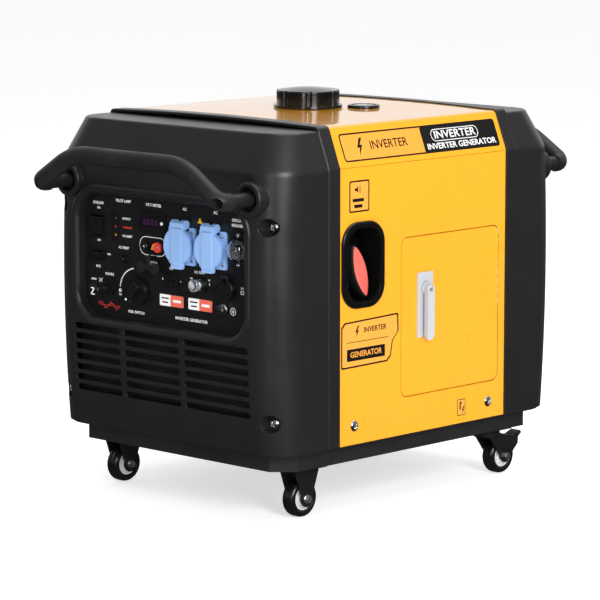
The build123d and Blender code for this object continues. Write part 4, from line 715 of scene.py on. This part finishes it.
gauge_mid, gauge_top = middle("fuel_gauge"), corners("fuel_gauge")[1].z
lens_height = 1.75
gauge_board = board((gauge_mid.x, gauge_mid.y, gauge_top - lens_height), (1, 0, 0), (0, 1, 0))
dial = Piece("gauge_dial", white_ink, black_ink, red_ink)
dial.slab(circle(16.9, steps=48), gauge_board, 0.15, -0.1)
mark_inside, mark_outside = 10.5, 14.5
for step in range(5):
    turn = math.radians(150 - 30 * step)
    mark = [(r * math.cos(turn), r * math.sin(turn)) for r in (mark_inside, mark_outside)]
    dial.stroke(mark, 1.0, gauge_board, 0.05, 0.05, 1)
dial.letters("E", 3.2, gauge_board, (-10.5, 1.5), 0.05, 1)
dial.letters("F", 3.2, gauge_board, (10.5, 1.5), 0.05, 1)
needle = [(0, -2), (-5.5, 11)]
dial.stroke(needle, 1.2, gauge_board, 0.12, 0.15, 2)
dial.done("case")
gauge_lens = Piece("gauge_lens", clear_finish)
lens_profile = [(0.0, lens_height), (12, 1.6), (16.6, 1.0), (16.9, 0.75), (16.9, 0.5), (0.0, 0.5)]
gauge_lens.lathe(lens_profile, gauge_board, 48)
gauge_lens.done("case", merge=1e-6)

# ------------------------------------------------------------------ screws with cross recesses
def cross_head(piece, matrix, radius, height, finish=0):
    """Domed screw head with a cross recess."""
    rings, steps = 18, 64
    dome_drop, dome_power = 0.75, 2.6
    arm_half, arm_reach, core, depth = 0.135 * radius, 0.5 * radius, 0.3 * radius, 0.42 * radius
    points, faces = [], []
    for i in range(rings + 1):
        r = radius * (i / rings)
        for k in range(steps):
            angle = 2 * math.pi * k / steps
            x, y = r * math.cos(angle), r * math.sin(angle)
            z = height * (1 - dome_drop * (r / radius) ** dome_power)
            aside, reach = sorted((abs(x), abs(y)))
            if aside < arm_half + 0.1 * max(0, core - reach) and reach < arm_reach:
                z -= depth * (1 - 0.55 * reach / arm_reach)
            points.append((x, y, z))
    for i in range(rings):
        for k in range(steps):
            a, b = i * steps + k, i * steps + (k + 1) % steps
            faces.append((a, b, b + steps, a + steps))
    base = rings * steps
    points += [(x, y, 0) for x, y in circle(radius, steps=steps)]
    for k in range(steps):
        j = (k + 1) % steps
        faces.append((base + k, base + j, base + steps + j, base + steps + k))
    faces.append(tuple(reversed(range(base + steps, base + 2 * steps))))
    piece.add_mesh(points, faces, matrix, finish, smooth=True)


def spots_of(node):
    """Lowest and highest corners of the separate solids of a CAD node, in millimetres."""
    shape = bmesh.new()
    shape.from_mesh(cad[node].data)
    bmesh.ops.remove_doubles(shape, verts=shape.verts, dist=1e-6)
    left = set(shape.verts)
    found = []
    while left:
        stack = [left.pop()]
        group = [stack[0]]
        while stack:
            for edge in stack.pop().link_edges:
                for vert in edge.verts:
                    if vert in left:
                        left.remove(vert)
                        stack.append(vert)
                        group.append(vert)
        low = Vector([min(v.co[i] for v in group) for i in range(3)]) / MM
        high = Vector([max(v.co[i] for v in group) for i in range(3)]) / MM
        found.append((low, high))
    shape.free()
    return sorted(found, key=lambda pair: tuple(pair[0]))


screw_heads = Piece("screw_heads", chrome_finish)
for low, high in spots_of("screws"):
    size = high - low
    thin = min(range(3), key=lambda i: size[i])
    spot = (low + high) / 2
    outward = 1 if spot[thin] > 0 else -1
    face = Vector(spot)
    face[thin] = low[thin] if outward > 0 else high[thin]
    right = (-outward, 0, 0) if thin == 1 else (0, outward, 0)
    turned = Matrix.Rotation(0.3 + 0.9 * face.z, 4, "Z")  # each recess stands differently
    matrix = board(face, right, (0, 0, 1)) @ turned
    cross_head(screw_heads, matrix, max(size) / 2, size[thin])
screw_heads.done("case", replaces=["screws"])

# ------------------------------------------------------------------ wheels
tread_radius = 25.0
shoulder_wide, shoulder_deep = 6.2, 5.2
bore_radius = 4.1
for corner in ("fl", "fr", "rl", "rr"):
    low, high = corners(f"wheel_{corner}")
    centre = (low + high) / 2
    outward = 1 if centre.x > 0 else -1
    half = (high.x - low.x) / 2
    axle = board(centre, (0, outward, 0), (0, 0, 1))
    wheel = Piece(f"caster_wheel_{corner}", tyre_finish, hub_finish, switch_finish)
    shoulder = []
    for k in range(9):
        angle = math.radians(90 * k / 8)
        shoulder.append((tread_radius - shoulder_deep * (1 - math.cos(angle)),
                         half - shoulder_wide * (1 - math.sin(angle))))
    tyre = [(tread_radius - 0.45, 0.0), (tread_radius - 0.4, 0.35), (tread_radius, 0.8), *shoulder]
    tyre += [(18.0, half - 0.2), (17.2, half - 0.9), (16.4, half - 1.2), (15.6, half - 2.2)]
    mirrored = [(r, -z) for r, z in reversed(tyre[1:])]
    wheel.lathe(mirrored + tyre, axle, 72, 0)
    dish = [(15.9, half - 2.4), (15.2, half - 1.7), (14.2, half - 1.6), (12.6, half - 3.4),
            (9.6, half - 4.0), (8.8, half - 3.0), (8.0, half - 2.4), (6.4, half - 2.4),
            (bore_radius, half - 2.5), (bore_radius, 0)]
    collar = [(6.2, half - 2.6), (6.2, half - 0.9), (5.6, half - 0.5),
              (bore_radius, half - 0.5), (bore_radius, half - 2.6)]
    for profile, steps, finish in ((dish, 60, 1), (collar, 40, 2)):
        wheel.lathe(profile, axle, steps, finish)
        wheel.lathe([(r, -z) for r, z in reversed(profile)], axle, steps, finish)
    wheel.done(f"wheel_{corner}", replaces=[f"wheel_{corner}"], merge=1e-6)


def bolt_area(finish, wheel_at):
    """1 on the ends of a wheel's axle bolt, outside the fork's cheeks, and 0 elsewhere."""
    head_reach, cheek_face, fade = 5.5, 15.0, 0.1
    spot = finish.near(wheel_at, head_reach, axis_free=0)
    place = finish.node("ShaderNodeSeparateXYZ")
    finish.link(finish.place, place.inputs[0])
    away = finish.node("ShaderNodeMath", operation="SUBTRACT")
    finish.link(place.outputs["X"], away.inputs[0])
    away.inputs[1].default_value = wheel_at.x * MM
    distance = finish.node("ShaderNodeMath", operation="ABSOLUTE")
    finish.link(away.outputs[0], distance.inputs[0])
    beyond = finish.ramp(distance.outputs[0], cheek_face * MM, (cheek_face + fade) * MM)
    both = finish.node("ShaderNodeMath", operation="MULTIPLY")
    finish.link(spot, both.inputs[0])
    finish.link(beyond, both.inputs[1])
    return both.outputs[0]


# The axle bolts belong to the fork's solid, so the fork's paint turns to plated metal there.
bolt_color = (0.8, 0.8, 0.82)
for node, wheels in (("caster_mounts", ("fl", "fr")), ("fork_rl", ("rl",)), ("fork_rr", ("rr",))):
    finish = powder(f"{node}_paint", linear(26, 26, 27), (0.3, 0.42), 0.9, 0.015)
    areas = [bolt_area(finish, middle(f"wheel_{corner}")) for corner in wheels]
    for area in areas:
        finish.tint(area, bolt_color)
    metallic = areas[0]
    for area in areas[1:]:
        total = finish.node("ShaderNodeMath", operation="MAXIMUM")
        finish.link(metallic, total.inputs[0])
        finish.link(area, total.inputs[1])
        metallic = total.outputs[0]
    finish.link(metallic, finish.shader.inputs["Metallic"])
    cad[node].data.materials.clear()
    cad[node].data.materials.append(finish.material)

# ------------------------------------------------------------------ recoil grip insert
grip_high = corners("recoil_grip")[1]
grip_middle = middle("recoil_grip")
grip_turn = math.radians(19)
grip_board = board((grip_high.x, grip_middle.y, grip_middle.z),
                   (0, math.cos(grip_turn), math.sin(grip_turn)),
                   (0, -math.sin(grip_turn), math.cos(grip_turn)))
insert = Piece("recoil_grip_insert", insert_finish)
columns, rows = 12, 32
grip_half_width, side_arc, rim_width = 13, 71.2, 2.2
last_row, insert_reach, tip_length = 35.4, 35.5, 3.0
crown_height, crown_reach, insert_lift = 1.3, 36, 0.1
grid, faces = [], []
for i in range(rows + 1):
    along = last_row * math.sin(math.pi * (i / rows - 0.5))
    chord = math.sqrt(side_arc ** 2 - along ** 2) - (side_arc - grip_half_width)
    taper = min(1.0, math.sqrt(max(0.0, (insert_reach - abs(along)) / tip_length)))
    half_width = (chord - rim_width) * taper
    for j in range(columns + 1):
        across = -1 + 2 * j / columns
        crown = crown_height * (1 - across ** 2) * (1 - (along / crown_reach) ** 4)
        grid.append((across * half_width, along, crown + insert_lift))
for i in range(rows):
    for j in range(columns):
        a = i * (columns + 1) + j
        faces.append((a, a + 1, a + columns + 2, a + columns + 1))
insert.add_mesh(grid, faces, grip_board, 0, smooth=True)
insert.done("recoil_grip", merge=1e-6)

# ------------------------------------------------------------------ labels on the case
def outline_label(piece, outline, inner, matrix, line_finish, fill_finish):
    """Printed label: a filled field with a dark line round it."""
    piece.slab(outline, matrix, LABEL_SKIN, LABEL_LIFT, fill_finish)
    piece.band(outline, inner, matrix, *ON_LABEL, line_finish)


slope = Piece("shoulder_label", black_ink, pale_ink, white_ink)
label_low, label_high = 7.6, 46.5
label_front, label_back, label_split = -152.8, 158.0, 5.0  # the dark field starts at the split
label_mid = ((label_front + label_back) / 2, (label_low + label_high) / 2)
label_size = (label_back - label_front, label_high - label_low)
label_line = 2.2
label_inside = [side - 2 * label_line for side in label_size]
outline_label(slope, rounded(*label_size, 5, label_mid), rounded(*label_inside, 3.2, label_mid),
              slope_board, 0, 1)
dark_mid = ((label_split + label_back) / 2, label_mid[1])
dark_field = rounded(label_back - label_split, label_size[1], 4.5, dark_mid)
slope.slab(dark_field, slope_board, *BOLD_ON_LABEL)
slope.slab(bolt_sign(24, (-118, label_mid[1])), slope_board, *BOLD_ON_LABEL)
slope.letters("INVERTER", 12, slope_board, (-62, label_mid[1]), 0.15)
plaque = (72, label_high - 15)
slope.band(rounded(96, 17, 8, plaque, 8), rounded(94, 15, 7, plaque, 8), slope_board, 0.04,
           0.19, 2)
slope.letters("INVERTER", 11.0, slope_board, plaque, 0.2, 2, span=84)
slope.letters("INVERTER GENERATOR", 8.2, slope_board, (81.5, label_low + 8.5), 0.2, 2, span=140)
slope.done("case")

side_labels = Piece("side_labels", black_ink, pale_ink, white_ink)
noise_mid = (-129.2, 423.8)
outline_label(side_labels, rounded(38.6, 41.8, 3, noise_mid),
              rounded(34.4, 37.6, 1.8, noise_mid), side_board, 0, 1)
horn_y, horn_z = noise_mid[0] - 6, noise_mid[1] + 9
horn = [(-3, -1.6), (0, -1.6), (3.4, -4.4), (3.4, 4.4), (0, 1.6), (-3, 1.6)]
side_labels.slab([(horn_y + y, horn_z + z) for y, z in horn], side_board, *ON_LABEL)
for reach in (6.2, 8.8):
    sound = []
    for degrees in range(-35, 36, 10):
        turn = math.radians(degrees)
        sound.append((horn_y + reach * math.cos(turn), horn_z + reach * math.sin(turn)))
    side_labels.stroke(sound, 0.8, side_board, *ON_LABEL)
for row, wide in enumerate((22, 16)):
    block = rounded(wide, 4.4, 0.8, (noise_mid[0] - 2, noise_mid[1] - 5 - row * 8))
    side_labels.slab(block, side_board, *ON_LABEL)

badge = [(-163.5, 197.2), (-74.4, 198.3), (-67.0, 204.2), (-62.8, 225.4), (-51.4, 237.0),
         (-52.4, 261.6), (-157.5, 258.7), (-163.5, 252.5)]
badge_outer = round_corners(badge, 3.0)
badge_y, badge_z = -110.0, 230.0
badge_inner = [(badge_y + (y - badge_y) * 0.958, badge_z + (z - badge_z) * 0.93)
               for y, z in badge_outer]
outline_label(side_labels, badge_outer, badge_inner, side_board, 0, 1)
side_labels.slab(bolt_sign(15, (-133, 245)), side_board, *BOLD_ON_LABEL)
side_labels.letters("INVERTER", 7.2, side_board, (-98, 245.5), 0.14)
side_labels.slab(rounded(80, 0.9, 0.3, (-112, 231.5)), side_board, *ON_LABEL)
name_field_at = (-115.5, 214.5)
side_labels.slab(rounded(74, 16, 0.8, name_field_at), side_board, *BOLD_ON_LABEL)
side_labels.letters("GENERATOR", 7.6, side_board, name_field_at, 0.2, 1)

sign_y, sign_z = sign_mid = (77.0, 116.3)
outline_label(side_labels, rounded(16.8, 22.8, 1.6, sign_mid),
              rounded(14.8, 20.8, 1.0, sign_mid), side_board, 0, 1)
side_labels.slab(circle(2.1, (sign_y - 1.5, sign_z + 6), 16), side_board, *ON_LABEL)
side_labels.stroke([(sign_y - 2, sign_z + 3.6), (sign_y - 2.5, sign_z - 3)], 2.6, side_board,
                   *ON_LABEL)
side_labels.slab(bolt_sign(11, (sign_y + 3.4, sign_z - 4)), side_board, *ON_LABEL)
side_labels.done("case")

# ------------------------------------------------------------------ floor, light and camera
floor_reach = 40.0
floor_mesh = bpy.data.meshes.new("studio_floor")
floor_shape = bmesh.new()
bmesh.ops.create_grid(floor_shape, x_segments=16, y_segments=16, size=floor_reach)
floor_shape.to_mesh(floor_mesh)
floor_shape.free()
paper = Finish("floor_paper", (0.88, 0.88, 0.88), 0.8).mottle(900, 0.015)
paper.plain(Emission_Color=(1, 1, 1, 1), Emission_Strength=0.6)
floor_mesh.materials.append(paper.material)
floor = bpy.data.objects.new("studio_floor", floor_mesh)
bpy.context.collection.objects.link(floor)
floor.visible_glossy = False


def studio_world(bright_way, dim, bright, below):
    """White surroundings: brightest along bright_way, dim opposite it, dark under the horizon."""
    world = bpy.data.worlds.new("studio")
    world.use_nodes = True
    tree = world.node_tree
    way = tree.nodes.new("ShaderNodeTexCoord").outputs["Generated"]
    dot = tree.nodes.new("ShaderNodeVectorMath")
    dot.operation = "DOT_PRODUCT"
    dot.inputs[1].default_value = Vector(bright_way).normalized()
    tree.links.new(way, dot.inputs[0])
    split = tree.nodes.new("ShaderNodeSeparateXYZ")
    tree.links.new(way, split.inputs[0])
    levels = []
    for value, limits in ((dot.outputs["Value"], (0.35, 0.85, dim, bright)),
                          (split.outputs["Z"], (-0.06, 0.03, below, 1.0))):
        scale = tree.nodes.new("ShaderNodeMapRange")
        scale.interpolation_type = "SMOOTHSTEP"
        tree.links.new(value, scale.inputs["Value"])
        for name, limit in zip(MAP_LIMITS, limits):
            scale.inputs[name].default_value = limit
        levels.append(scale.outputs["Result"])
    product = tree.nodes.new("ShaderNodeMath")
    product.operation = "MULTIPLY"
    tree.links.new(levels[0], product.inputs[0])
    tree.links.new(levels[1], product.inputs[1])
    tree.nodes["Background"].inputs["Color"].default_value = (1, 1, 1, 1)
    tree.links.new(product.outputs[0], tree.nodes["Background"].inputs["Strength"])
    bpy.context.scene.world = world


studio_world((-0.69, 0.72, 0.1), dim=0.24, bright=0.93, below=0.1)
bpy.context.scene.view_settings.view_transform = "Standard"


def softbox(name, place, target, width, height, watts):
    """Large soft light aimed at target."""
    lamp = bpy.data.lights.new(name, "AREA")
    lamp.shape = "RECTANGLE"
    lamp.size, lamp.size_y = width, height
    lamp.energy = watts
    thing = bpy.data.objects.new(name, lamp)
    thing.location = place
    thing.rotation_euler = (Vector(target) - Vector(place)).to_track_quat("-Z", "Y").to_euler()
    bpy.context.collection.objects.link(thing)


aim = (0, 0, 0.28)
softbox("key_right", (3.4, -1.6, 1.7), aim, 1.4, 2.0, 112)
softbox("corner_strip", (1.7, -3.3, 1.1), aim, 0.35, 2.2, 14)
softbox("top", (0.4, 0.6, 3.0), aim, 2.4, 2.4, 54)

azimuth, elevation = math.radians(43.8), math.radians(8.5)
camera_place = (3.0649, -3.2120, 0.9138)
to_camera = Vector((math.sin(azimuth) * math.cos(elevation),
                    -math.cos(azimuth) * math.cos(elevation), math.sin(elevation)))
camera_data = bpy.data.cameras.new("camera")
camera_data.sensor_width = 36.0
camera_data.lens = 193.914  # solved with camera_place from the edges of the case
camera_data.clip_end = 100
camera = bpy.data.objects.new("camera", camera_data)
camera.location = camera_place
camera.rotation_euler = (-to_camera).to_track_quat("-Z", "Y").to_euler()
bpy.context.collection.objects.link(camera)
bpy.context.scene.camera = camera
